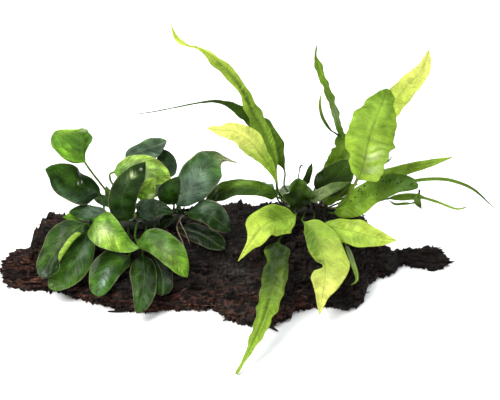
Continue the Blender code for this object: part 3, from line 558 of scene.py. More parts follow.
bark = makeWood()
splinters = runNodes(bark, "driftwood_splinters", wood["splinters"], splinterNodes)
finishPiece(splinters, "driftwood")
print("driftwood made,", len(bark.data.polygons), "faces,", len(splinters.data.polygons), "on splinters")


def surfaceOf(obj):
    mesh = bmesh.new()
    mesh.from_mesh(obj.data)
    tree = BVHTree.FromBMesh(mesh)
    mesh.free()
    return tree


cadWood = surfaceOf(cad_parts["driftwood"])
barkSurface = surfaceOf(bark)


def topAt(tree, x, y, miss=0.0):
    hit = tree.ray_cast(Vector((x, y, 100)) * mm, Vector((0, 0, -1)))[0]
    return miss if hit is None else hit.z / mm


rhizomes = {
    "anubias": {"node": "anubias_rhizome", "radius": 4.0,
                "creep": ((-95, 8), (-82, 12), (-68, 16), (-54, 19), (-40, 21), (-26, 23))},
    "fern": {"node": "fern_rhizome", "radius": 2.6,
             "creep": ((38, 21), (46, 23), (55, 24), (64, 24), (73, 26))},
    "gap": 0.3, "stations": 150, "around": 28, "seed": 5, "scar": 0.09, "scarPace": 1.15, "knob": 0.07,
    "roundEnd": 1.6,
}


def rhizomePath(plant):
    r = plant["radius"]
    spots = []
    for x, y in plant["creep"]:
        tops = [topAt(cadWood, x + dx, y + dy) for dx in (-r, 0, r) for dy in (-r, 0, r)]
        spots.append((x, y, max(tops) + rhizomes["gap"] + r))
    return catmull(spots, 10)


def makeRhizome(name, plant):
    # a knobbly stem, ringed by old leaf scars
    path, far, _ = rhizomePath(plant)
    stations = np.linspace(0, far[-1], rhizomes["stations"])
    centre = np.stack([np.interp(stations, far, path[:, k]) for k in range(3)], 1)
    along = unit(np.gradient(centre, axis=0))
    side = unit(np.cross(along, (0, 0, 1)))
    lift = np.cross(side, along)
    turn = np.linspace(0, 2 * math.pi, rhizomes["around"], endpoint=False)
    rng = np.random.default_rng(rhizomes["seed"])
    end = np.minimum(stations, far[-1] - stations) / plant["radius"]
    taper = np.sqrt(np.clip(end / rhizomes["roundEnd"], 0.04, 1))
    scars = rhizomes["scar"] * (np.abs(np.sin(stations * rhizomes["scarPace"])) ** 0.5 - 1)
    knob = rhizomes["knob"] * sineNoise(rng, stations[:, None] / 9, turn[None] / 3, 9, 0.4, 1.6)
    radius = plant["radius"] * taper[:, None] * (0.97 + scars[:, None] + knob)
    points = centre[:, None] + radius[..., None] * (
        np.cos(turn)[None, :, None] * side[:, None] + np.sin(turn)[None, :, None] * lift[:, None])
    made = gridObject(name, points, rhizomeSkin)
    finishPiece(made, "rhizome", plant["node"])
    return path


anubiasPath = makeRhizome("anubias_creeping_stem", rhizomes["anubias"])
fernPath = makeRhizome("fern_creeping_stem", rhizomes["fern"])
print("creeping stems made")


# outlines as shares of the length and of the half width, the same on both sides
outlines = {
    "oval": ((0, 0.1), (0.07, 0.52), (0.22, 0.92), (0.42, 1), (0.62, 0.92), (0.8, 0.67), (0.93, 0.35),
             (1, 0.04)),
    "lance": ((0, 0.08), (0.1, 0.38), (0.26, 0.84), (0.42, 1), (0.6, 0.9), (0.78, 0.58), (0.92, 0.24),
              (1, 0.04)),
    "strap": ((0, 0.12), (0.08, 0.7), (0.2, 1), (0.4, 0.95), (0.6, 0.86), (0.78, 0.6), (0.92, 0.25),
              (1, 0.04)),
    "blunt": ((0, 0.1), (0.1, 0.65), (0.24, 0.95), (0.42, 1), (0.6, 0.98), (0.78, 0.8), (0.92, 0.48),
              (1, 0.16)),
    "tailed": ((0, 0.15), (0.1, 0.7), (0.2, 1), (0.28, 0.94), (0.36, 0.78), (0.44, 0.58), (0.51, 0.38),
               (0.57, 0.2), (0.66, 0.12), (0.75, 0.08), (1, 0.05)),
    "thread": ((0, 0.5), (0.2, 1), (0.34, 0.9), (0.46, 0.42), (0.75, 0.34), (1, 0.2)),
    "slip": ((0, 0.3), (0.3, 0.95), (0.6, 0.9), (1, 0.08)),
}

# what all leaves of a plant share; lengths in mm
anubias = {
    "skin": anubiasSkin, "slot": "anubias_leaf", "path": anubiasPath, "radius": rhizomes["anubias"]["radius"],
    "stemRadius": 0.75, "thickness": 0.7, "fold": 8, "arch": 0.1, "wave": 0.8, "waves": 1.4,
    "wobble": 0.018, "wobblePace": 0.35, "quilt": 0.16, "pucker": 0.6, "veinGap": 3.0, "veinSlope": 1.2,
    "veinDrift": 0.35, "rib": 0.5, "step": 0.75, "across": 25, "tone": 0.9, "drift": 0.28,
    "margin": "withered", "marginShare": 0.4, "under": "sage", "underShare": 0.6,
    "footTone": "deep", "stem": "forest", "stalk": (),
}
fern = {
    "skin": fernSkin, "slot": "fern_leaf", "path": fernPath, "radius": rhizomes["fern"]["radius"],
    "stemRadius": 0.6, "thickness": 0.55, "fold": 7, "arch": 0.08, "wave": 1.1, "waves": 2.6,
    "wobble": 0.045, "wobblePace": 0.5, "quilt": 0.44, "pucker": 0.6, "veinGap": 4.2, "veinSlope": 0.75,
    "veinDrift": 0.55, "rib": 0.4, "step": 0.7, "across": 25, "tone": 0.86, "drift": 0.15,
    "margin": "yellow", "marginShare": 0.2, "under": "dull", "underShare": 0.6,
    "footTone": "bramble", "stem": "moss", "stalk": (),
}

# sprout is the place along the creeping stem and the turn round it; stalk and blade are points
# shape is (share of length, left half width, right half width), as seen from the face with the tip up
# paint is (colour, place along, place across, reach along, reach across, strength, streaks if any); the
# streaked patches are painted highlights and painted sheen
anubiasLeaves = (
    dict(sprout=(-68, 110), stalk=((-80, 24, 54),),
         blade=((-95.6, 27, 77.4), (-98.3, 25.5, 91.5), (-96.6, 24, 106)),
         face=(0.1, -0.85, 0.5), fold=4, base="grass", tip="grass", stem="olive", wobble=0.03, tone=1.28,
         shape=((0, 1.4, 1), (0.05, 4.2, 1.4), (0.15, 9, 2.2), (0.3, 15, 4), (0.5, 19, 6.5), (0.62, 20, 8),
                (0.75, 19, 8.4), (0.86, 16, 6.4), (0.92, 10, 4.6), (0.96, 4, 4.4), (1, 0.5, 2)),
         paint=(("bright", 0.3, -0.6, 0.35, 0.5, 0.7), ("forest", 0.5, 0.0, 0.25, 0.25, 0.6),
                ("lime", 0.9, -0.7, 0.1, 0.4, 0.6), ("pale", 0.95, 0.3, 0.04, 0.4, 0.7))),
    dict(sprout=(-84, 120), blade=((-85.5, 24, 53), (-101.8, 17, 66.2), (-120.9, 9, 82.9)),
         face=(0.1, -0.6, 0.8), wave=1.9, waves=1.8, base="deep", tip="forest", tone=0.8,
         shape=((0, 0.8, 0.8), (0.08, 5, 4.5), (0.25, 12, 9.5), (0.5, 15, 11), (0.62, 13.5, 11),
                (0.75, 10.5, 9.8), (0.88, 6.4, 6), (0.95, 3.6, 3.4), (1, 0.4, 0.4)),
         # the slate patches are painted sheen; the streaked white and pale patches are painted highlights
         paint=(("grass", 0.6, 0.3, 0.2, 0.4, 0.5), ("sheenSlate", 0.5, -0.8, 0.3, 0.3, 0.6),
                ("pitch", 0.4, 0.6, 0.25, 0.3, 0.7), ("highlightWhite", 0.42, 0.1, 0.01, 0.1, 0.5, 1.2),
                ("pitch", 0.75, -0.2, 0.15, 0.3, 0.6), ("highlightWhite", 0.36, 0.3, 0.007, 0.09, 0.4, 1.2),
                ("sheenSlate", 0.15, -0.3, 0.1, 0.5, 0.6, 1.2), ("pale", 0.48, -0.1, 0.008, 0.1, 0.4, 1.2))),
    dict(sprout=(-78, 50), blade=((-79, 9, 44), (-91, 8, 48), (-106, 4, 52)), width=14,
         # the slate base and the steel patch are painted grey-blue sheen
         face=(0.3, -0.4, 0.85), base="sheenSlate", tip="forest", tone=0.7,
         paint=(("sheenSteel", 0.4, 0.0, 0.3, 0.5, 0.4),)),
    dict(sprout=(-94, 50), blade=((-96, 6, 44), (-102, 4, 48), (-110, 2, 49)), width=8,
         face=(0, -0.5, 0.85), outline="slip", base="grass", tip="bright"),
    dict(sprout=(-87, 20),
         blade=((-94.7, 0, 44.6), (-107.2, -9, 41.4), (-116, -21, 33), (-123.4, -32, 22.4)),
         face=(-0.1, -0.6, 0.8), base="forest", tip="deep", wave=0.9, tone=0.62,
         curl=(-1, 0.1, 0.86, 0.66, 155),  # side, begin, end, hinge and degrees of a rolled rim
         shape=((0, 0.8, 0.8), (0.08, 5, 4.5), (0.2, 9.5, 9), (0.4, 10.8, 11.3), (0.6, 10.2, 9.6),
                (0.8, 9, 8.2), (0.92, 6, 5.6), (0.97, 3.6, 3.4), (1, 0.8, 0.8)),
         under="lime", underShare=0.95,
         # the streaked steel patch at the tip is a painted highlight
         paint=(("sage", 0.42, 0.1, 0.22, 0.25, 0.6), ("grass", 0.75, 0.6, 0.3, 0.4, 0.6),
                ("pitch", 0.25, 0.5, 0.15, 0.4, 0.5), ("sheenSteel", 0.95, 0.0, 0.05, 0.6, 0.6, 0.9))),
    dict(sprout=(-82, 5),
         blade=((-92, 0, 40), (-97.5, -11, 31.5), (-106, -22, 22), (-118, -31, 12.5)),
         face=(0.1, -0.6, 0.8), base="forest", tip="grass", tone=0.7,
         shape=((0, 0.8, 0.8), (0.1, 5, 5), (0.25, 9, 10), (0.5, 11.8, 12), (0.75, 9.8, 9.5), (0.9, 6.4, 6.2),
                (0.97, 3.6, 3.6), (1, 0.8, 0.8)),
         # the slate patch is painted sheen and the streaked sage patch at the tip is a painted highlight
         paint=(("sheenSlate", 0.3, -0.3, 0.2, 0.4, 0.6), ("grass", 0.6, 0.2, 0.2, 0.3, 0.5),
                ("pitch", 0.15, 0.6, 0.2, 0.5, 0.5), ("sage", 0.93, 0.0, 0.06, 0.7, 0.6, 1.0))),
    dict(sprout=(-91, 72), stalk=((-91.5, 0.5, 48),),
         blade=((-88.3, -5, 51.7), (-76.2, -16, 49), (-65.4, -21, 42.6), (-57.3, -24, 40.9)),
         face=(0, -0.7, 0.7), fold=5, base="bright", tip="bright", under="lime", quilt=0.08, tone=0.82,
         shape=((0, 5.2, 6.2), (0.05, 7.8, 9.2), (0.16, 10, 12.6), (0.36, 8.8, 13.8), (0.55, 6.4, 11.5),
                (0.75, 3.9, 7.8), (0.9, 2, 4), (1, 0.3, 0.3)),
         # the streaked pale patch is a painted highlight
         paint=(("grass", 0.05, 0.5, 0.14, 0.5, 0.7), ("pale", 0.34, 0.3, 0.17, 0.45, 0.7, 0.1),
                ("lime", 0.5, 0.5, 0.3, 0.4, 0.7), ("grass", 0.7, -0.6, 0.25, 0.4, 0.8))),
    dict(sprout=(-66, 15), stalk=((-66, 2, 36),),
         blade=((-65, -12, 27.5), (-76, -20, 25), (-82.5, -28, 18.5), (-85.5, -40, 13)),
         face=(0, -0.7, 0.7), base="deep", tip="forest", tone=1.25,
         shape=((0, 0.8, 0.8), (0.1, 5.5, 5.5), (0.3, 9, 10), (0.5, 9, 11.5), (0.75, 7.8, 8.4),
                (0.9, 5.6, 6.2), (0.97, 3.4, 3.8), (1, 0.8, 0.8)),
         # the streaked steel patch is painted sheen
         paint=(("sheenSteel", 0.66, -0.1, 0.2, 0.25, 1.0, 1.1), ("grass", 0.25, 0.0, 0.12, 0.6, 0.5),
                ("pitch", 0.4, 0.7, 0.3, 0.3, 0.7), ("grass", 0.75, 0.7, 0.2, 0.3, 0.4))),
    dict(sprout=(-54, 15), stalk=((-54, 4, 37),),
         blade=((-56, -14, 29), (-54, -30, 23), (-55.6, -46, 15), (-58.4, -56, 10)),
         face=(0, -0.75, 0.65), base="deep", tip="forest", tone=0.6,
         shape=((0, 0.8, 0.8), (0.1, 5.5, 6.5), (0.2, 7.6, 9.2), (0.33, 8.5, 10.1), (0.6, 8.8, 7.6),
                (0.8, 7, 5), (0.93, 4, 3), (1, 0.4, 0.4)),
         paint=(("grass", 0.45, 0.5, 0.25, 0.3, 0.6), ("grass", 0.9, 0.0, 0.1, 0.6, 0.6))),
    dict(sprout=(-48, 15), stalk=((-48, 5, 34),), blade=((-50, -10, 30), (-43, -26, 23), (-42, -40, 13.5)),
         face=(0, -0.7, 0.7), base="pitch", tip="deep", tone=0.55,
         shape=((0, 0.8, 0.8), (0.2, 5, 5), (0.5, 7.5, 7), (0.8, 7.5, 7.5), (0.93, 5.5, 5.5), (1, 1, 1)),
         paint=(("forest", 0.85, 0.0, 0.15, 0.8, 0.5),)),
    dict(sprout=(-58, 40), stalk=((-60, 4, 42),),
         blade=((-60, -10, 38), (-47, -18, 41), (-34, -28, 35.5), (-25, -36, 25.5)),
         face=(0.1, -0.7, 0.7), fold=5, base="grass", tip="bright", tone=0.7,
         shape=((0, 0.8, 0.8), (0.08, 5, 4.5), (0.2, 8.6, 6.4), (0.4, 11, 8), (0.6, 11, 7.8), (0.8, 7.6, 6.4),
                (0.93, 3.6, 3.4), (1, 0.3, 0.3)),
         paint=(("forest", 0.3, -0.6, 0.3, 0.4, 0.7), ("lime", 0.7, 0.3, 0.25, 0.4, 0.6),
                ("sage", 0.45, -0.1, 0.25, 0.25, 0.5))),
    dict(sprout=(-63, 65), blade=((-66, 4, 45), (-70, 0, 62), (-65, -2, 78), (-53, 0, 94)),
         face=(0, -0.95, 0.3), base="deep", tip="deep", tone=0.7,
         shape=((0, 1, 1), (0.08, 7, 6), (0.2, 8.4, 9), (0.4, 9, 10.3), (0.6, 8.8, 9.8), (0.8, 6.4, 7.8),
                (0.93, 3.2, 3.5), (1, 0.3, 0.3)),
         # the streaked sage, pale and white patches are painted highlights
         paint=(("sage", 0.72, -0.3, 0.09, 0.35, 0.6, 1.2), ("forest", 0.45, 0.3, 0.25, 0.5, 0.6),
                ("pale", 0.77, -0.2, 0.045, 0.28, 0.75, 1.4), ("highlightWhite", 0.9, 0.2, 0.015, 0.15, 0.9, 0.8),
                ("forest", 0.6, -0.8, 0.3, 0.3, 0.6))),
    dict(sprout=(-62, 120), stalk=((-76, 28, 57), (-79, 28, 64)),
         blade=((-76.5, 26, 70), (-56, 20, 76), (-37, 18, 69)),
         # the sage base and the slate patch are painted grey sheen
         face=(0, -0.6, 0.8), base="sage", tip="lime", fold=5, tone=0.85, stem="leaf", footTone="olive",
         shape=((0, 0.8, 0.8), (0.05, 4.2, 3.4), (0.12, 7, 6.4), (0.3, 10, 9.5), (0.5, 11, 10.5),
                (0.7, 10, 9), (0.85, 7.4, 6.4), (0.95, 4, 3.6), (1, 0.6, 0.6)),
         paint=(("lime", 0.4, -0.9, 0.6, 0.35, 0.9), ("bright", 0.15, 0.0, 0.15, 0.8, 0.8),
                ("grass", 0.8, -0.2, 0.15, 0.5, 0.6), ("sheenSlate", 0.55, 0.4, 0.2, 0.4, 0.6))),
    dict(sprout=(-52, 95), blade=((-55, 14, 54), (-52, 6, 70), (-47, 4, 79)), width=13,
         # the glow patch is a painted highlight
         face=(0, -0.9, 0.4), base="bright", tip="lime", paint=(("glow", 0.3, 0.6, 0.15, 0.3, 0.7),)),
    dict(sprout=(-60, 150), stalk=((-66, 32, 58),), blade=((-68, 34, 76), (-55, 36, 82), (-40, 38, 88)),
         # the slate base and tip are painted grey-blue sheen
         face=(0, -0.7, 0.7), base="sheenSlate", tip="sheenSlate",
         shape=((0, 0.8, 0.8), (0.08, 3, 3.5), (0.2, 4.8, 6), (0.4, 5.6, 8), (0.6, 6.4, 8.5), (0.8, 5, 6.6),
                (0.93, 2.8, 3), (1, 0.5, 0.5)),
         paint=(("grass", 0.5, -0.9, 0.3, 0.25, 0.6), ("deep", 0.85, -0.6, 0.15, 0.5, 0.5))),
    dict(sprout=(-42, 140), stalk=((-41, 32, 48),), blade=((-41, 34, 60), (-40.5, 36, 71), (-44, 38, 81.5)),
         # the slate base is painted grey-blue sheen
         width=14.5, face=(0, -0.8, 0.6), base="sheenSlate", tip="deep"),
    dict(sprout=(-37, 70), blade=((-35, 16, 50), (-38, 8, 66), (-31, 6, 79)), face=(0, -0.85, 0.5),
         base="deep", tip="deep",
         shape=((0, 0.8, 0.8), (0.1, 4, 3.5), (0.3, 7.5, 6.3), (0.5, 8, 9), (0.7, 5.3, 8), (0.9, 2.4, 3.9),
                (1, 0.4, 0.4)),
         paint=(("forest", 0.6, 0.2, 0.25, 0.4, 0.7),)),
    dict(sprout=(-32, 105),
         blade=((-33, 20, 45.5), (-25.5, 17, 61), (-14.5, 17, 76.5), (-4, 19, 85), (8.5, 22, 80)),
         # the slate base and the steel patch are painted grey-blue sheen
         face=(0.1, -0.8, 0.6), base="sheenSlate", tip="forest", fold=5, tone=1.15,
         shape=((0, 1, 1), (0.07, 5, 5), (0.15, 7.6, 8.2), (0.35, 11.6, 13), (0.5, 12.6, 13.4),
                (0.65, 11.8, 12), (0.76, 6.6, 7.4), (0.84, 2, 2.2), (0.92, 0.8, 0.8), (1, 0.3, 0.3)),
         paint=(("sheenSteel", 0.4, 0.0, 0.25, 0.6, 0.7), ("deep", 0.5, -0.85, 0.3, 0.25, 0.6),
                ("forest", 0.68, 0.5, 0.12, 0.6, 0.6), ("withered", 0.95, 0.0, 0.12, 2.0, 1.0))),
    dict(sprout=(-28, 60), blade=((-26, 12, 46), (-11, 2, 51), (4, -6, 43)), face=(0.1, -0.6, 0.8),
         base="deep", tip="pitch",
         shape=((0, 0.8, 0.8), (0.1, 5, 3.5), (0.3, 10, 6), (0.5, 10.6, 7), (0.7, 9, 7.8),
                (0.9, 4.3, 5), (1, 0.4, 0.4)),
         # the slate patches are painted grey-blue sheen
         paint=(("sheenSlate", 0.3, -0.3, 0.25, 0.5, 0.7), ("sheenSlate", 0.7, -0.8, 0.15, 0.2, 0.5))),
    dict(sprout=(-31, 20), blade=((-32, 8, 37), (-15, 0, 35), (0, -10, 31)), face=(0, -0.5, 0.85),
         base="pitch", tip="deep", tone=0.5,
         shape=((0, 0.8, 0.8), (0.1, 4, 4), (0.3, 7.5, 6.2), (0.5, 7.2, 7), (0.7, 7.6, 6.7),
                (0.9, 5, 4.2), (1, 0.5, 0.5)),
         paint=(("forest", 0.85, 0.2, 0.12, 0.5, 0.5),)),
    dict(sprout=(-56, 65), blade=((-57, 11, 43), (-49, 6, 53), (-35, 2, 53)), face=(0, -0.8, 0.6),
         # the slate base is painted grey-blue sheen
         base="sheenSlate", tip="deep", wave=2.0, tone=0.7,
         shape=((0, 1, 1), (0.1, 7, 4), (0.3, 9.3, 7.5), (0.5, 7, 8), (0.7, 5.2, 4.4),
                (0.9, 2.6, 2), (1, 0.3, 0.3)),
         paint=(("pitch", 0.55, 0.5, 0.2, 0.4, 0.7),)),
    dict(sprout=(-44, 45), blade=((-45, 10, 38), (-40, 6, 44), (-34, 4, 47)), width=9,
         face=(0, -0.7, 0.7), outline="slip", base="pitch", tip="pitch"),
    dict(sprout=(-76, 115), blade=((-78.5, 26, 46), (-80.5, 29, 51), (-82, 29.5, 57)), width=5,
         face=(0, -0.9, 0.4), outline="slip", base="forest", tip="bright"),
    dict(sprout=(-76, 165), blade=((-80, 30, 39), (-84, 44, 40), (-88, 60, 30)), width=18,
         face=(0, 0.2, 0.95), base="deep", tip="forest"),
    dict(sprout=(-50, 165), blade=((-50, 34, 44), (-50, 50, 48), (-48, 68, 42)), width=19,
         face=(0, 0.1, 1), base="forest", tip="forest"),
    dict(sprout=(-33, 160), blade=((-30, 35, 42), (-22, 48, 45), (-14, 60, 38)), width=17,
         face=(0.1, 0.1, 1), base="deep", tip="grass"),
)

fernLeaves = (
    dict(sprout=(45, 100), stalk=((37, 28, 52),),
         blade=((35, 26, 68), (33, 24, 84), (27, 22, 102), (18.5, 20, 122), (10, 20, 141), (-2.5, 20, 157.5),
                (-17, 20, 169.5), (-23.5, 20, 171), (-31.5, 22, 176), (-34.8, 22, 186)),
         face=(0.15, -0.9, 0.4), base="leaf", tip="yellow", wave=1.3, waves=7, wobble=0.15,
         quilt=0.4, tone=1.1,
         shape=((0, 0.5, 0.5), (0.1, 3, 2.8), (0.25, 5.5, 5.5), (0.38, 5, 5.3), (0.46, 3.6, 4),
                (0.53, 3.2, 3.4), (0.6, 4, 4.2), (0.68, 4.2, 3.8), (0.75, 2.6, 2.6), (0.81, 1.2, 1),
                (0.86, 0.8, 0.8), (0.9, 1.9, 1.5), (0.95, 1.2, 1.2), (1, 0.2, 0.2)),
         paint=(("moss", 0.5, 0.0, 0.2, 0.5, 0.8), ("leaf", 0.68, -0.5, 0.12, 0.6, 0.5),
                ("fresh", 0.2, 0.6, 0.15, 0.4, 0.5))),
    dict(sprout=(50, 125), stalk=((41, 36, 52),),
         blade=((41, 37, 64), (36, 38, 77), (32, 39, 89), (26, 40, 97), (18, 40, 104), (11, 38, 111),
                (4, 36, 117), (-4, 34, 121), (-13, 32, 122), (-28, 30, 120), (-46, 28, 117), (-58, 26, 116)),
         face=(0, -0.9, 0.4), outline="tailed", width=13, base="moss", tip="moss", wobble=0.1, waves=6,
         paint=(("leaf", 0.18, 0.6, 0.12, 0.5, 0.7), ("shade", 0.6, 0.0, 0.1, 1.0, 0.6))),
    dict(sprout=(42, 85), stalk=((36, 20, 52),),
         blade=((35, 19, 64), (33.9, 18, 71.6), (29.2, 15, 83.8), (23.8, 11, 94.2), (17, 7, 105.9),
                (10.6, 5, 112.3), (4.5, 3, 116.5), (-2.2, 1.5, 117.6), (-12, 0, 120)),
         face=(-0.1, -0.85, 0.5), base="fresh", tip="straw", tone=1.0, drift=0.08, wobble=0.08, waves=5,
         shape=((0, 0.5, 0.5), (0.094, 1.5, 1.5), (0.258, 3.9, 3.9), (0.41, 6.2, 5.4), (0.583, 7.8, 7.6),
                (0.696, 6.8, 7), (0.794, 6.3, 5.9), (0.88, 4.4, 3.1), (0.94, 2.2, 2.4), (1, 0.2, 0.2)),
         paint=(("straw", 0.7, 0.0, 0.25, 1.0, 0.6), ("leaf", 0.15, 0.0, 0.15, 1.0, 0.5))),
    dict(sprout=(40, 120), stalk=((40, 24, 48),),
         blade=((36, 23, 52), (27, 20, 59), (12, 20, 62), (-2, 22, 57), (-14, 26, 47)),
         face=(0, -0.6, 0.8), base="moss", tip="shade", wave=1.2,
         shape=((0, 1, 1), (0.1, 4.5, 4.5), (0.3, 5.4, 5.4), (0.5, 6.2, 6.2), (0.7, 6.4, 6.4),
                (0.85, 5, 5), (1, 0.5, 0.5)),
         paint=(("leaf", 0.5, 0.5, 0.3, 0.4, 0.8), ("shade", 0.6, -0.4, 0.3, 0.4, 0.7))),
    dict(sprout=(46, 60),
         blade=((48.5, 8, 47.5), (40, 3, 47), (28, -8, 50), (20, -18, 46), (9, -28, 33)),
         face=(-0.1, -0.7, 0.7), base="fresh", tip="yellow", quilt=0.5, wave=1.6,
         shape=((0, 0.5, 0.5), (0.04, 4, 3.5), (0.1, 8, 7.5), (0.2, 12, 11), (0.35, 10.8, 12),
                (0.5, 9.2, 11.6), (0.6, 8.8, 10), (0.7, 7.3, 4.5), (0.78, 4.4, 2.2),
                (0.9, 2, 1.2), (1, 0.2, 0.2)),
         paint=(("moss", 0.3, 0.35, 0.12, 0.5, 0.95), ("leaf", 0.15, 0.6, 0.15, 0.6, 0.7),
                ("yellow", 0.6, 0.0, 0.2, 1.0, 0.5), ("lime", 0.25, -0.6, 0.2, 0.4, 0.5))),
    dict(sprout=(49, 35), stalk=((44, 4, 41),),
         blade=((36.6, -10, 38.1), (34.2, -27, 36.2), (33.3, -45, 32.9), (30.5, -62, 26.2), (25.2, -80, 19.4),
                (17, -98, 10.7), (8, -112, 1.2)),
         face=(0, -0.5, 0.85), base="shade", tip="fresh", waves=6, wave=1.8,
         quilt=0.5, pucker=1.3, wobble=0.14,
         shape=((0, 0.8, 0.8), (0.05, 7.6, 6.4), (0.12, 9.9, 8.6), (0.19, 8.9, 6.4), (0.28, 8, 8),
                (0.43, 7.9, 7.8), (0.5, 7.5, 7.5), (0.58, 6.4, 6.5), (0.66, 5.2, 5.2), (0.74, 3.9, 3.9),
                (0.83, 2.4, 2.4), (0.9, 1.4, 1.4), (0.97, 1.2, 1.2), (1, 0.9, 0.9)),
         paint=(("shade", 0.15, -0.1, 0.18, 0.9, 0.85), ("leaf", 0.14, 0.8, 0.08, 0.3, 0.5),
                ("shade", 0.32, 0.2, 0.12, 0.5, 0.6), ("fresh", 0.7, -0.4, 0.3, 0.5, 0.7),
                ("leaf", 0.55, 0.3, 0.15, 0.7, 0.6))),
    dict(sprout=(56, 40), stalk=((53, 8, 44),),
         blade=((52.8, 3, 45.1), (58.9, -3, 43.3), (62.2, -12, 40.2), (65.3, -21, 36.2), (67.3, -32, 31.6),
                (67.1, -42, 26.2), (65, -51, 19.3), (63.3, -58.5, 10.9)),
         face=(0.1, -0.7, 0.7), base="fresh", tip="straw", fold=14, quilt=0.35, waves=3,
         wobble=0.03, tone=0.74,
         shape=((0, 0.6, 0.6), (0.06, 4, 3.5), (0.114, 8, 6.5), (0.247, 14, 7.7), (0.38, 14.6, 8.5),
                (0.49, 16, 6), (0.535, 17, 1.6), (0.555, 16.8, 1.6), (0.6, 15.6, 7.6), (0.694, 11.5, 9.8),
                (0.77, 7.8, 7.6), (0.846, 4.2, 4.6), (0.92, 2.4, 2.6), (1, 0.2, 0.2)),
         paint=(("leaf", 0.22, 0.5, 0.3, 0.6, 1.0), ("moss", 0.2, 0.7, 0.32, 0.6, 0.45),
                ("shade", 0.5, 0.4, 0.03, 0.5, 0.6), ("straw", 0.78, 0.0, 0.15, 1.0, 0.7),
                ("yellow", 0.5, -0.5, 0.2, 0.6, 0.6))),
    dict(sprout=(62, 45), stalk=((61, 10, 42),),
         blade=((66, 5, 42), (74, 2, 41), (91, -4, 40), (105, -8, 38), (116, -10, 38)),
         face=(0, -0.6, 0.8), base="fresh", tip="yellow", waves=3,
         shape=((0, 0.6, 0.6), (0.05, 2.5, 3), (0.1, 4.2, 5.5), (0.25, 7, 8.6), (0.5, 9.2, 10.6),
                (0.7, 7.4, 7.6), (0.85, 4.4, 4.2), (0.93, 2.3, 2.1), (1, 0.2, 0.2)),
         paint=(("leaf", 0.1, 0.0, 0.1, 1.0, 0.6), ("yellow", 0.5, -0.4, 0.25, 0.5, 0.6),
                ("lime", 0.6, 0.5, 0.25, 0.5, 0.6))),
    dict(sprout=(61, 70), stalk=((78, 8, 54),),
         blade=((89.2, 2, 78.4), (93.5, 2, 94.3), (95.3, 2, 106.2), (98, 3, 117.5), (101.4, 5, 128.2),
                (105.4, 8, 137.5), (108.8, 12, 142.6)),
         face=(-0.1, -0.92, 0.3), base="fresh", tip="leaf", fold=3, quilt=1.5, veinGap=6.2, wave=1.7,
         stem="olive", pucker=0.7, veinSlope=0.12, veinDrift=0.3, waves=5, wobble=0.08, tone=0.98,
         shape=((0, 1.6, 6), (0.03, 4.5, 11), (0.1, 7.6, 13.6), (0.17, 9.6, 14), (0.237, 11.4, 14.2),
                (0.41, 14.6, 15.6), (0.578, 15.6, 16.2), (0.742, 12.4, 14.3), (0.84, 9.4, 9.8),
                (0.895, 7.6, 7.6), (0.95, 5, 6.2), (1, 1.8, 1.8)),
         # the streaked pale patch is a painted highlight
         paint=(("lime", 0.72, -0.2, 0.25, 0.6, 0.6), ("leaf", 0.12, -0.3, 0.12, 0.6, 0.7),
                ("leaf", 0.97, 0.0, 0.06, 1.0, 0.8), ("pale", 0.26, 0.45, 0.14, 0.35, 0.5, 0.8),
                ("leaf", 0.45, 0.9, 0.3, 0.2, 0.5), ("moss", 0.35, 0.0, 0.45, 0.05, 0.4))),
    dict(sprout=(66, 115), stalk=((84, 30, 49),),
         blade=((95, 34, 74), (106.5, 36, 108), (122.8, 36, 131.5), (132, 34, 145.5), (135.8, 32, 162)),
         face=(0.1, -0.9, 0.4), base="yellow", tip="straw", quilt=0.15, tone=1.05, drift=0.06,
         shape=((0, 0.5, 0.5), (0.1, 3, 3), (0.3, 7.5, 7.5), (0.5, 8.5, 8.5), (0.68, 7, 7), (0.85, 4.2, 5),
                (0.94, 2, 2.6), (1, 0.2, 0.2)),
         paint=(("fresh", 0.5, 0.0, 0.2, 1.0, 0.5),)),
    dict(sprout=(57, 100),
         blade=((60.5, 32, 50), (67, 33, 63), (74, 34, 74.5), (79, 34, 86), (77.5, 33, 100), (72.4, 32, 121),
                (65.4, 32, 141), (61, 32, 155), (61, 32, 165)),
         face=(0, -0.9, 0.4), base="leaf", tip="leaf", wobble=0.17, wobblePace=0.9, wave=0.8, waves=7,
         shape=((0, 0.8, 0.8), (0.1, 2.4, 2.4), (0.2, 3.8, 4), (0.3, 4.8, 6), (0.37, 4, 6), (0.43, 1.8, 2.4),
                (0.5, 2.2, 2.4), (0.65, 2.5, 2.5), (0.8, 2.4, 2.2), (0.88, 2.6, 2.6),
                (0.93, 1, 1), (1, 0.3, 0.3)),
         paint=(("sage", 0.56, 0.0, 0.08, 1.0, 0.9), ("moss", 0.42, 0.0, 0.05, 1.0, 0.7),
                ("fresh", 0.8, 0.3, 0.08, 0.8, 0.5), ("shade", 0.15, 0.0, 0.1, 1.0, 0.6))),
    dict(foot=(77, 32, 96),
         blade=((74.5, 30, 99), (71, 30, 102), (66, 30, 111), (64, 30, 121), (65.2, 30, 132)),
         face=(0, -0.9, 0.4), outline="slip", width=2.4, base="moss", tip="fresh"),
    dict(sprout=(70, 40),
         blade=((74, 18, 42), (85, 12, 51), (98, 10, 61), (115, 4, 72), (130, 0, 74)),
         face=(0.1, -0.75, 0.65), base="leaf", tip="moss", waves=4, quilt=0.3, pucker=0.8, tone=1.0,
         spots=((-0.55, 0.25, 0.95, 1.0), (0.45, 0.3, 0.8, 0.25)),
         shape=((0, 0.6, 0.6), (0.07, 3.5, 4), (0.15, 6.5, 6.3), (0.3, 9, 8.6), (0.5, 10, 7), (0.7, 9.5, 5.4),
                (0.85, 8.7, 3.8), (0.95, 6.2, 2.2), (1, 2, 0.6)),
         paint=(("moss", 0.8, -0.6, 0.2, 0.5, 0.6), ("fresh", 0.35, 0.7, 0.25, 0.4, 0.4))),
    dict(sprout=(70, 100), stalk=((81, 26, 51),),
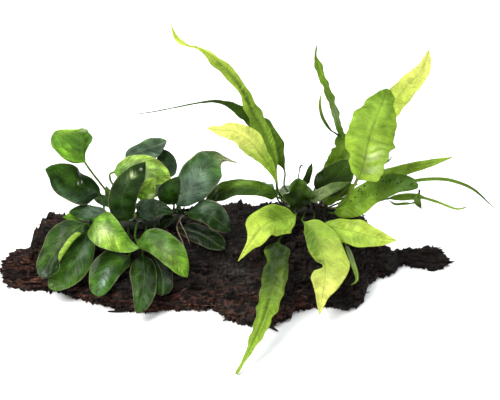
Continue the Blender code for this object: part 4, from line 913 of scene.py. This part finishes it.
         blade=((95, 26, 60), (108, 26, 67), (124, 24, 74), (140, 22, 80), (155, 20, 86)),
         face=(0, -0.8, 0.6), outline="strap", width=8, base="leaf", tip="fresh"),
    dict(sprout=(72, 80), stalk=((91, 24, 52),),
         blade=((115, 20, 63.5), (132, 16, 70), (145, 12, 73.3), (156, 10, 72.5), (169, 6, 68),
                (184, 2, 54.5)),
         face=(0, -0.8, 0.6), outline="slip", width=2.6, base="leaf", tip="moss"),
    dict(sprout=(72, 50), stalk=((95, 20, 47),),
         blade=((112, 18, 54), (130, 14, 58), (136, 12, 58), (145, 10, 56), (157, 8, 52), (164, 8, 53)),
         face=(0, -0.8, 0.6), outline="thread", width=5, base="leaf", tip="fresh"),
    dict(sprout=(51, 85), blade=((50, 16, 47), (50.5, 12, 60), (49, 14, 72.5)), width=19,
         face=(0.3, -0.8, 0.5), outline="blunt", base="shade", tip="moss", wave=3.4, waves=2.3, wobble=0.16,
         pucker=2.0, tone=0.7, paint=(("leaf", 0.8, 0.5, 0.15, 0.4, 0.7),)),
    dict(sprout=(67, 30), stalk=((71, 8, 37),),
         blade=((81, -4, 33), (86, -18, 27), (89, -30, 20), (85, -33, 17)),
         width=4, face=(0.3, -0.7, 0.6), outline="slip", base="dull", tip="fresh"),
    dict(sprout=(54, 120), blade=((55, 30, 57), (57, 31, 65), (59.5, 32, 74)), width=5,
         face=(0, -0.9, 0.4), outline="strap", base="shade", tip="moss", tone=0.7, wobble=0.1),
    dict(sprout=(49, 105), stalk=((50, 30, 61),), blade=((51, 30, 70), (52, 30, 73), (54, 30, 73)), width=1.4,
         face=(0, -0.9, 0.4), outline="slip", base="shade", tip="dull"),
    dict(sprout=(58, 75), blade=((58, 18, 52), (70, 14, 63), (85, 12, 71)), width=8,
         face=(0, -0.8, 0.6), outline="strap", base="dull", tip="moss"),
    dict(sprout=(60, 92), blade=((63, 24, 55), (75, 24, 66), (85, 26, 79)), width=21,
         face=(0, -0.9, 0.4), outline="blunt", base="shade", tip="moss", tone=0.7),
    dict(sprout=(65, 95), blade=((67, 25, 45), (74, 24, 51), (84, 22, 60), (91, 21, 64)), width=8,
         face=(0, -0.8, 0.6), outline="strap", base="leaf", tip="leaf"),
    dict(sprout=(66, 150), stalk=((72, 40, 52),), blade=((80, 50, 62), (95, 62, 72), (104, 74, 74)), width=16,
         face=(0, -0.3, 0.95), outline="strap", base="leaf", tip="fresh"),
    dict(sprout=(50, 165), blade=((48, 44, 46), (46, 62, 36), (44, 76, 22), (42, 86, 8)), width=15,
         face=(0, 0.5, 0.85), outline="lance", base="leaf", tip="fresh"),
    dict(sprout=(42, 160), blade=((34, 44, 45), (24, 58, 41), (14, 72, 29)), width=12,
         face=(0, 0.3, 0.95), outline="lance", base="moss", tip="leaf"),
)
plantletLeaves = (
    dict(foot=(132, 11, 65), blade=((132, 11, 63), (131, 11, 57), (134, 11, 50)), width=5,
         face=(0, -0.9, 0.4), outline="slip", base="leaf", tip="shade"),
    dict(foot=(131, 12, 56),
         blade=((128, 12, 54), (122, 13, 53), (116, 14, 52), (111, 15, 55)), width=2,
         face=(0, -0.9, 0.4), outline="slip", base="leaf", tip="moss"),
)
# how every leaf is built; lengths in mm
leafForm = {
    "stalkLift": 2.5, "stalkStep": 2.2, "slimStem": (0.35, 0.3), "footSwell": 0.25, "flatBy": 0.07,
    "tipRadius": 0.15, "rows": (22, 190), "small": 6.0, "clearance": 0.15, "spotWidth": 0.35,
    "smallLeaf": {"across": 9, "rowShare": 0.6, "wave": 0.0},
    "edgeSpan": 10, "veinSpan": 16, "patchSpan": (20, 12), "puckerSpan": 14,
    "ruffleBegins": (0.03, 0.25), "ruffleEnds": (0.85, 1.0), "groove": 0.12, "grooveWidth": 0.5,
    "tipFade": (0.2, 1.0), "marginBand": (0.93, 0.99), "stemFade": (0.15, 0.9),
}


def halfWidths(row, share):
    if "shape" in row:
        shape = np.array(row["shape"], float)
        return eased(share, shape[:, 0], shape[:, 1]), eased(share, shape[:, 0], shape[:, 2])
    shape = np.array(outlines[row.get("outline", "oval")], float)
    half = row["width"] / 2 * eased(share, shape[:, 0], shape[:, 1])
    return half, half


def leafPaint(value, rng, share, across, ray, top, stem, climb):
    # the colour at each point: base to tip, listed patches, margin, underside and stalk
    fade = smoothstep(*leafForm["tipFade"], share)[..., None]
    color = linear(value["base"]) * (1 - fade) + linear(value["tip"]) * fade
    drift = 1 + value["drift"] * sineNoise(rng, share * 2.4, across * 0.9, 7, 0.4, 2.2)
    # some patches are painted highlights and painted sheen, broken into streaks along the veins
    for name, at, side, far, wide, strength, *streaks in value.get("paint", ()):
        reach = ((share - at) / far) ** 2 + ((across - side) / wide) ** 2
        part = strength * np.exp(-reach) * np.clip(0.5 + 0.5 * drift, 0, 1.2)
        part = np.clip(part * (1 + (streaks[0] if streaks else 0.3) * ray), 0, 1)[..., None]
        color = color * (1 - part) + linear(name) * part
    color = value["tone"] * color * np.clip(drift, 0.4, 1.7)[..., None]
    margin = (value["marginShare"] * smoothstep(*leafForm["marginBand"], np.abs(across)))[..., None]
    color = color * (1 - margin) + linear(value["margin"]) * margin
    below = np.where(top, 0.0, value["underShare"])[..., None]
    color = color * (1 - below) + linear(value["under"]) * below
    rise, bare = smoothstep(*leafForm["stemFade"], climb)[..., None], stem[..., None]
    stemTone = linear(value["footTone"]) * (1 - rise) + linear(value["stem"]) * rise
    color = color * (1 - bare) + stemTone * bare
    return np.concatenate([np.clip(color, 0, 1), np.ones((*share.shape, 1))], 2)


def leafSpine(value):
    # the curve from the creeping stem to the tip, and how far along it the blade begins
    if "sprout" in value:
        x, degrees = value["sprout"]
        path = value["path"]
        centre = path[np.argmin(abs(path[:, 0] - x))]
        out = np.array((0, -math.cos(math.radians(degrees)), math.sin(math.radians(degrees))))
        foot = centre + out * (value["radius"] + rhizomes["gap"])
        start = [foot, foot + out * leafForm["stalkLift"]]
    else:
        start = [value["foot"]]
    path, far, marks = catmull([*start, *value["stalk"], *value["blade"]])
    return path, far, marks[len(start) + len(value["stalk"])]


def spineFrame(path, far, place, face):
    # centre, side and lift at each place along the curve
    centre = np.stack([np.interp(place, far, path[:, k]) for k in range(3)], 1)
    tangent = unit(np.gradient(path, axis=0))
    along = unit(np.stack([np.interp(place, far, tangent[:, k]) for k in range(3)], 1))
    side = unit(np.cross(along, unit(np.array(face, float))))
    return centre, side, np.cross(side, along)


def leafRing(count):
    # once round a leaf: the share across, the turn for a round stalk, and 1 on top or -1 below
    t = np.linspace(0, 1, count)
    spread = 0.45 * -np.cos(math.pi * t) + 0.55 * (2 * t - 1)
    across = np.concatenate([spread, spread[-2:0:-1]])[None]
    turn = np.concatenate([math.pi * (1 - t), -math.pi * (1 - t[-2:0:-1])])[None]
    return across, turn, np.concatenate([np.ones(count), -np.ones(count - 2)])[None]


def unevenHalf(value, rng, u, across, length):
    # the half width at each point, with an uneven edge
    left, right = halfWidths(value, u)
    pace = 0.4 * value["wobblePace"], 2.2 * value["wobblePace"]
    edge = sineNoise(rng, u * length / leafForm["edgeSpan"], 3 * np.sign(across), 6, *pace)
    grow = 1 + value["wobble"] * edge * np.abs(across) ** 2 * smoothstep(0.05, 0.2, u)
    return np.maximum(np.where(across < 0, left, right) * grow, leafForm["tipRadius"])


def bladeRelief(value, rng, u, across, half, length):
    # how high each point stands, how many veins along it is, and streaks that follow the veins
    x, reach, far = across * half, np.abs(across), u * length
    sideTurn = np.where(across < 0, rng.uniform(0, 6.28), rng.uniform(0, 6.28))
    ruffle = value["wave"] * np.sin(2 * math.pi * value["waves"] * u + sideTurn)
    ruffle = ruffle * (0.7 + 0.5 * sineNoise(rng, u * 1.5, 0 * u, 3, 0.5, 1.5)) * reach**2.2
    begun, ended = smoothstep(*leafForm["ruffleBegins"], u), smoothstep(*leafForm["ruffleEnds"], u)
    ruffle = ruffle * begun * (1 - ended) * np.minimum(1, half / 7)
    vein = (far - value["veinSlope"] * np.abs(x)) / value["veinGap"]
    span = leafForm["veinSpan"]
    vein = vein + value["veinDrift"] * sineNoise(rng, far / span, x / span, 5, 0.5, 1.6)
    bell = np.clip(4 * reach * (1.02 - reach), 0, 1) ** 0.6 * np.minimum(1, half / 6)
    span, wide = leafForm["patchSpan"]
    patchy = np.clip(0.75 + 0.6 * sineNoise(rng, far / span, x / wide, 5, 0.5, 1.5), 0, 1.8)
    quilt = value["quilt"] * patchy * (np.abs(np.sin(math.pi * vein)) ** 0.8 - 0.6) * bell
    ray = np.clip(sineNoise(rng, vein * 0.8, x * 0.04, 9, 0.6, 2.4), -1.6, 1.6)
    span = leafForm["puckerSpan"]
    pucker = value["pucker"] * sineNoise(rng, far / span, x / span, 7, 0.4, 1.5) * bell
    fold = math.tan(math.radians(value["fold"])) * half * (np.sqrt(reach**2 + 0.02) - 0.14)
    return fold - value["arch"] * half * reach**2 + ruffle + quilt + pucker, vein, ray


def rolledRim(curl, u, across, half, height):
    # one rim rolled over: places across, heights, how far each point has turned, which ones rolled
    which, begin, finish, hinge, degrees = curl
    held = smoothstep(begin, begin + 0.12, u) * (1 - smoothstep(finish - 0.3, finish, u))
    bend = math.radians(degrees) * held
    beyond = np.where(np.sign(across) == which, np.clip(np.abs(across) - hinge, 0, 1), 0) * half
    x = across * half - which * beyond * (1 - np.cos(bend))
    height = height + beyond * np.sin(bend) + 1.1 * np.minimum(beyond, 1) * np.sin(bend / 2)
    return x, height, which * np.where(beyond > 0, bend, 0), beyond > 0


def makeLeaf(name, node, row, plant, seed):
    rng = np.random.default_rng(seed)
    value = {**plant, **row}
    path, far, base = leafSpine(value)
    length = far[-1] - base
    widest = max(np.max(halfWidths(value, np.linspace(0, 1, 30))), 0.1) * 2
    if widest < leafForm["small"]:
        value.update(leafForm["smallLeaf"])
    stalkRows = max(3, round(base / leafForm["stalkStep"]))
    bladeRows = int(np.clip(length / value["step"] * value.get("rowShare", 1), *leafForm["rows"]))
    share = np.concatenate([-np.linspace(base / length, 0, stalkRows, endpoint=False),
                            np.linspace(0, 1, bladeRows)])
    place = base + share * length
    centre, side, lift = spineFrame(path, far, place, value["face"])
    across, turn, top = leafRing(value["across"])
    u = np.clip(share, 0, 1)[:, None]
    flat = smoothstep(0, leafForm["flatBy"], share)[:, None]

    half = unevenHalf(value, rng, u, across, length)
    height, vein, ray = bladeRelief(value, rng, u, across, half, length)
    x, tilt, rolled = across * half, 0.0, False
    if "curl" in value:
        x, height, tilt, rolled = rolledRim(value["curl"], u, across, half, height)
    skin = value["thickness"] / 2 * (1 - np.abs(across) ** 5)
    rib = value["rib"] * (1 - 0.8 * u) * np.exp(-((x / (1.3 * value["rib"])) ** 2)) * (top < 0)
    x = x - top * skin * np.sin(tilt)
    groove = np.exp(-((x / leafForm["grooveWidth"]) ** 2)) * (top > 0) * np.minimum(1, half / 4)
    height = height + top * skin * np.cos(tilt) - np.where(rolled, 0, rib) - leafForm["groove"] * groove
    swell = 1 + leafForm["footSwell"] * np.exp(-place[:, None] / 2)
    slimmest, stemShare = leafForm["slimStem"]
    radius = min(value["stemRadius"], max(slimmest, stemShare * widest)) * swell
    x = radius * np.cos(turn) * (1 - flat) + x * flat
    height = radius * np.sin(turn) * (1 - flat) + height * flat
    points = centre[:, None] + x[..., None] * side[:, None] + height[..., None] * lift[:, None]
    points[..., 2] = np.maximum(points[..., 2], leafForm["clearance"])
    full = np.zeros(x.shape)
    climb = np.clip(1 + share[:, None] * length / base, 0, 1) + full
    spots = np.zeros(x.shape)
    for at, begin, finish, amount in value.get("spots", ()):
        spread = np.exp(-(((across - at) / leafForm["spotWidth"]) ** 2))
        spots += amount * spread * (u > begin) * (u < finish) * (top > 0)
    fields = {
        "tint": leafPaint(value, rng, u + full, across + full, ray, top + full > 0, 1 - flat + full, climb),
        "veinPhase": np.where(flat > 0.5, vein, 0.5), "ribReach": np.abs(x) + 2 * (1 - flat),
        "leafSeed": full + seed + 3.5 * (across > 0), "spots": spots,
    }
    uvs = np.stack([place[:, None] / 100 + full, 0.5 + 0.5 * across + full], 2)
    made = gridObject(name, points, value["skin"], uvs=uvs, fields=fields)
    finishPiece(made, value["slot"], node)
    return made


leafObjects = {}
for number, row in enumerate(anubiasLeaves, start=1):
    node = f"anubias_leaf_{number:02d}"
    leafObjects[node] = makeLeaf(f"{node}_grown", node, row, anubias, number)
print("anubias leaves made")
for number, row in enumerate(fernLeaves, start=1):
    node = f"fern_leaf_{number:02d}"
    leafObjects[node] = makeLeaf(f"{node}_grown", node, row, fern, 100 + number)
for number, row in enumerate(plantletLeaves, start=1):
    node = f"fern_plantlet_leaf_{number:02d}"
    leafObjects[node] = makeLeaf(f"{node}_grown", node, row, fern, 200 + number)
spores = {"Density": 60000.0, "Radius": 0.75 * mm, "Seed": 3}  # density in dots per square metre
spotted = leafObjects["fern_leaf_13"]
finishPiece(runNodes(spotted, "fern_leaf_13_spores", spores, sporeNodes), "fern_leaf")
print("fern fronds made")


# roots and old stalks; lengths in mm
roots = {
    "anubias": {"count": 12, "span": (-90, -28), "length": (14, 36), "radius": (0.4, 0.65), "skin": rootSkin},
    "fern": {"count": 64, "span": (36, 76), "length": (8, 26), "radius": (0.16, 0.3), "skin": hairSkin},
    "stubs": {"count": 26, "span": (40, 72), "height": (5, 15), "radius": (0.4, 0.75)},
    "step": 2.0, "sides": 7, "wander": 0.55, "seed": 21,
}
slivers = (  # splinters that stand out from the outline, each with its radius
    (((-62, -38, 2), (-66, -39.5, 1.3), (-72, -40.6, 1), (-79, -40.2, 0.5)), 1.1),
    (((27, -56, 3), (31, -60, 1.8), (35.5, -63.5, 0.7)), 1.3),
    (((4, -49, 2), (1, -50.4, 1.2), (-1.2, -51.2, 0.6)), 0.9),
    (((84, 30, 30), (89, 31, 32), (94, 32, 32), (97, 32, 31)), 0.9),
    (((-143, -9, 3), (-147, -11, 2), (-150, -12, 1)), 1.3),
)
looseRoots = (  # those that can be told apart in the photo, each with its radius
    (((-27, 20, 40), (-31, 8, 43), (-27, 0, 38), (-24, -5, 32)), 0.5),
    (((-30, 19, 38), (-33, 6, 38), (-28.5, -2, 30), (-27.5, -6, 25)), 0.55),
)
brokenStalk = ((102, 5, 86), (107, 7, 88.5), (110, 8, 90), (113, 9, 93)), 0.75


def crawl(rng, start, heading, length, lift):
    # a path that creeps over the bark
    spot, heading = np.array(start, float), unit(np.array(heading, float))
    path = [spot]
    for _ in range(max(3, int(length / roots["step"]))):
        heading = unit(heading + roots["wander"] * rng.normal(0, 0.5, 3))
        hit, normal = barkSurface.find_nearest(Vector(spot + heading * roots["step"]) * mm)[:2]
        spot = np.array(hit) / mm + np.array(normal) * lift
        path.append(spot)
    return path


def makeStrands(name, strands, skin, slot):
    # thin round shoots that taper to the tip
    points, faces = [], []
    sides = roots["sides"]
    turn = np.linspace(0, 2 * math.pi, sides, endpoint=False)[None, :, None]
    for path, radius in strands:
        centre, far, _ = catmull(path, 4)
        along = unit(np.gradient(centre, axis=0))
        side = unit(np.cross(along, (0.3, 0.2, 0.93)))
        lift = np.cross(side, along)
        girth = radius * (1 - 0.65 * (far / far[-1]) ** 2)[:, None, None]
        rings = centre[:, None] + girth * (np.cos(turn) * side[:, None] + np.sin(turn) * lift[:, None])
        rings[..., 2] = np.maximum(rings[..., 2], 0.15)
        first = len(points)
        points.extend((rings.reshape(-1, 3) * mm).tolist())
        for row in range(len(centre) - 1):
            at = first + row * sides
            pairs = [(at + k, at + (k + 1) % sides) for k in range(sides)]
            faces.extend((a, b, b + sides, a + sides) for a, b in pairs)
        last = first + (len(centre) - 1) * sides
        faces.append(tuple(range(first + sides - 1, first - 1, -1)))
        faces.append(tuple(range(last, last + sides)))
    mesh = bpy.data.meshes.new(name)
    mesh.from_pydata(points, [], faces)
    mesh.materials.append(skin)
    mesh.shade_smooth()
    made = newObject(name, mesh)
    finishPiece(made, slot)
    return made


def makeRoots():
    rng = np.random.default_rng(roots["seed"])
    for plant, path in (("anubias", anubiasPath), ("fern", fernPath)):
        value = roots[plant]
        strands = list(looseRoots) if plant == "anubias" else []
        for i in range(value["count"]):
            centre = path[np.argmin(abs(path[:, 0] - rng.uniform(*value["span"])))]
            heading = (rng.normal(0, 0.7), 1 if i % 3 else -1, -0.5)
            length, radius = rng.uniform(*value["length"]), rng.uniform(*value["radius"])
            strands.append(([centre, *crawl(rng, centre - (0, 0, 2), heading, length, 0.6 * radius)], radius))
        makeStrands(f"{plant}_roots", strands, value["skin"], "rhizome")
    value, stubs = roots["stubs"], []
    for _ in range(value["count"]):
        centre = fernPath[np.argmin(abs(fernPath[:, 0] - rng.uniform(*value["span"])))]
        lean = np.array((rng.normal(0, 0.35), rng.normal(-0.15, 0.4), 1)) * rng.uniform(*value["height"])
        bow = np.array((rng.normal(0, 1.2), rng.normal(0, 1.2), 0))
        stubs.append(([centre, centre + 0.5 * lean + bow, centre + lean], rng.uniform(*value["radius"])))
    makeStrands("fern_old_stalks", stubs, hairSkin, "rhizome")
    makeStrands("fern_broken_stalk", [brokenStalk], hairSkin, "rhizome")


makeRoots()
makeStrands("driftwood_slivers", slivers, woodSkin, "driftwood")
print("roots made")
finishPiece(bark, "driftwood", "driftwood")


# floor, lights and camera
stage = {
    "floor": 3.0, "floorDrop": 0.0002, "floorTone": (0.95, 0.95, 0.95, 1), "floorRoughness": 0.9,
    "worldTone": (0.92, 0.96, 1.0, 1), "worldStrength": 0.42, "lightAim": (0, 0, 0.06),
    "lights": (  # name, place, size, power and tone
        ("keySoftbox", (-0.7, -0.5, 1.2), 0.7, 24, (1.0, 0.99, 0.96)),
        ("topSoftbox", (0.1, 0.5, 1.3), 1.1, 20, (0.95, 0.98, 1.0)),
        ("fillSoftbox", (0.9, -0.9, 0.6), 0.8, 4, (1.0, 1.0, 1.0)),
    ),
    "lens": 160, "sensor": 36, "distance": 1.5, "elevation": 32, "target": (0.017, 0, 0.064), "clipEnd": 20,
}


def makeFloor():
    made, _, shader, _ = newMaterial("paleFloor")
    shader.inputs["Base Color"].default_value = stage["floorTone"]
    shader.inputs["Roughness"].default_value = stage["floorRoughness"]
    half = stage["floor"] / 2
    corners = [(-half, -half, 0), (half, -half, 0), (half, half, 0), (-half, half, 0)]
    mesh = bpy.data.meshes.new("floor")
    mesh.from_pydata(corners, [], [(0, 1, 2, 3)])
    mesh.materials.append(made)
    floor = newObject("floor", mesh)
    floor.location.z = -stage["floorDrop"]


def makeLight(name, place, size, power, tone):
    light = bpy.data.lights.new(name, "AREA")
    light.size = size
    light.energy = power
    light.color = tone
    made = newObject(name, light)
    made.location = place
    way = Vector(stage["lightAim"]) - Vector(place)
    made.rotation_euler = way.to_track_quat("-Z", "Y").to_euler()


def makeCamera():
    data = bpy.data.cameras.new("photoView")
    data.lens = stage["lens"]
    data.sensor_width = stage["sensor"]
    data.clip_end = stage["clipEnd"]
    camera = newObject("photoView", data)
    rise = math.radians(stage["elevation"])
    back = Vector((0, -math.cos(rise), math.sin(rise)))
    camera.location = Vector(stage["target"]) + back * stage["distance"]
    camera.rotation_euler = (-back).to_track_quat("-Z", "Y").to_euler()
    bpy.context.scene.camera = camera


def makeWorld():
    world = bpy.data.worlds.new("studio")
    world.use_nodes = True
    sky = world.node_tree.nodes["Background"]
    sky.inputs["Color"].default_value = stage["worldTone"]
    sky.inputs["Strength"].default_value = stage["worldStrength"]
    bpy.context.scene.world = world


makeFloor()
for light in stage["lights"]:
    makeLight(*light)
makeWorld()
bpy.context.scene.view_settings.view_transform = "Standard"
makeCamera()
print("stage made")
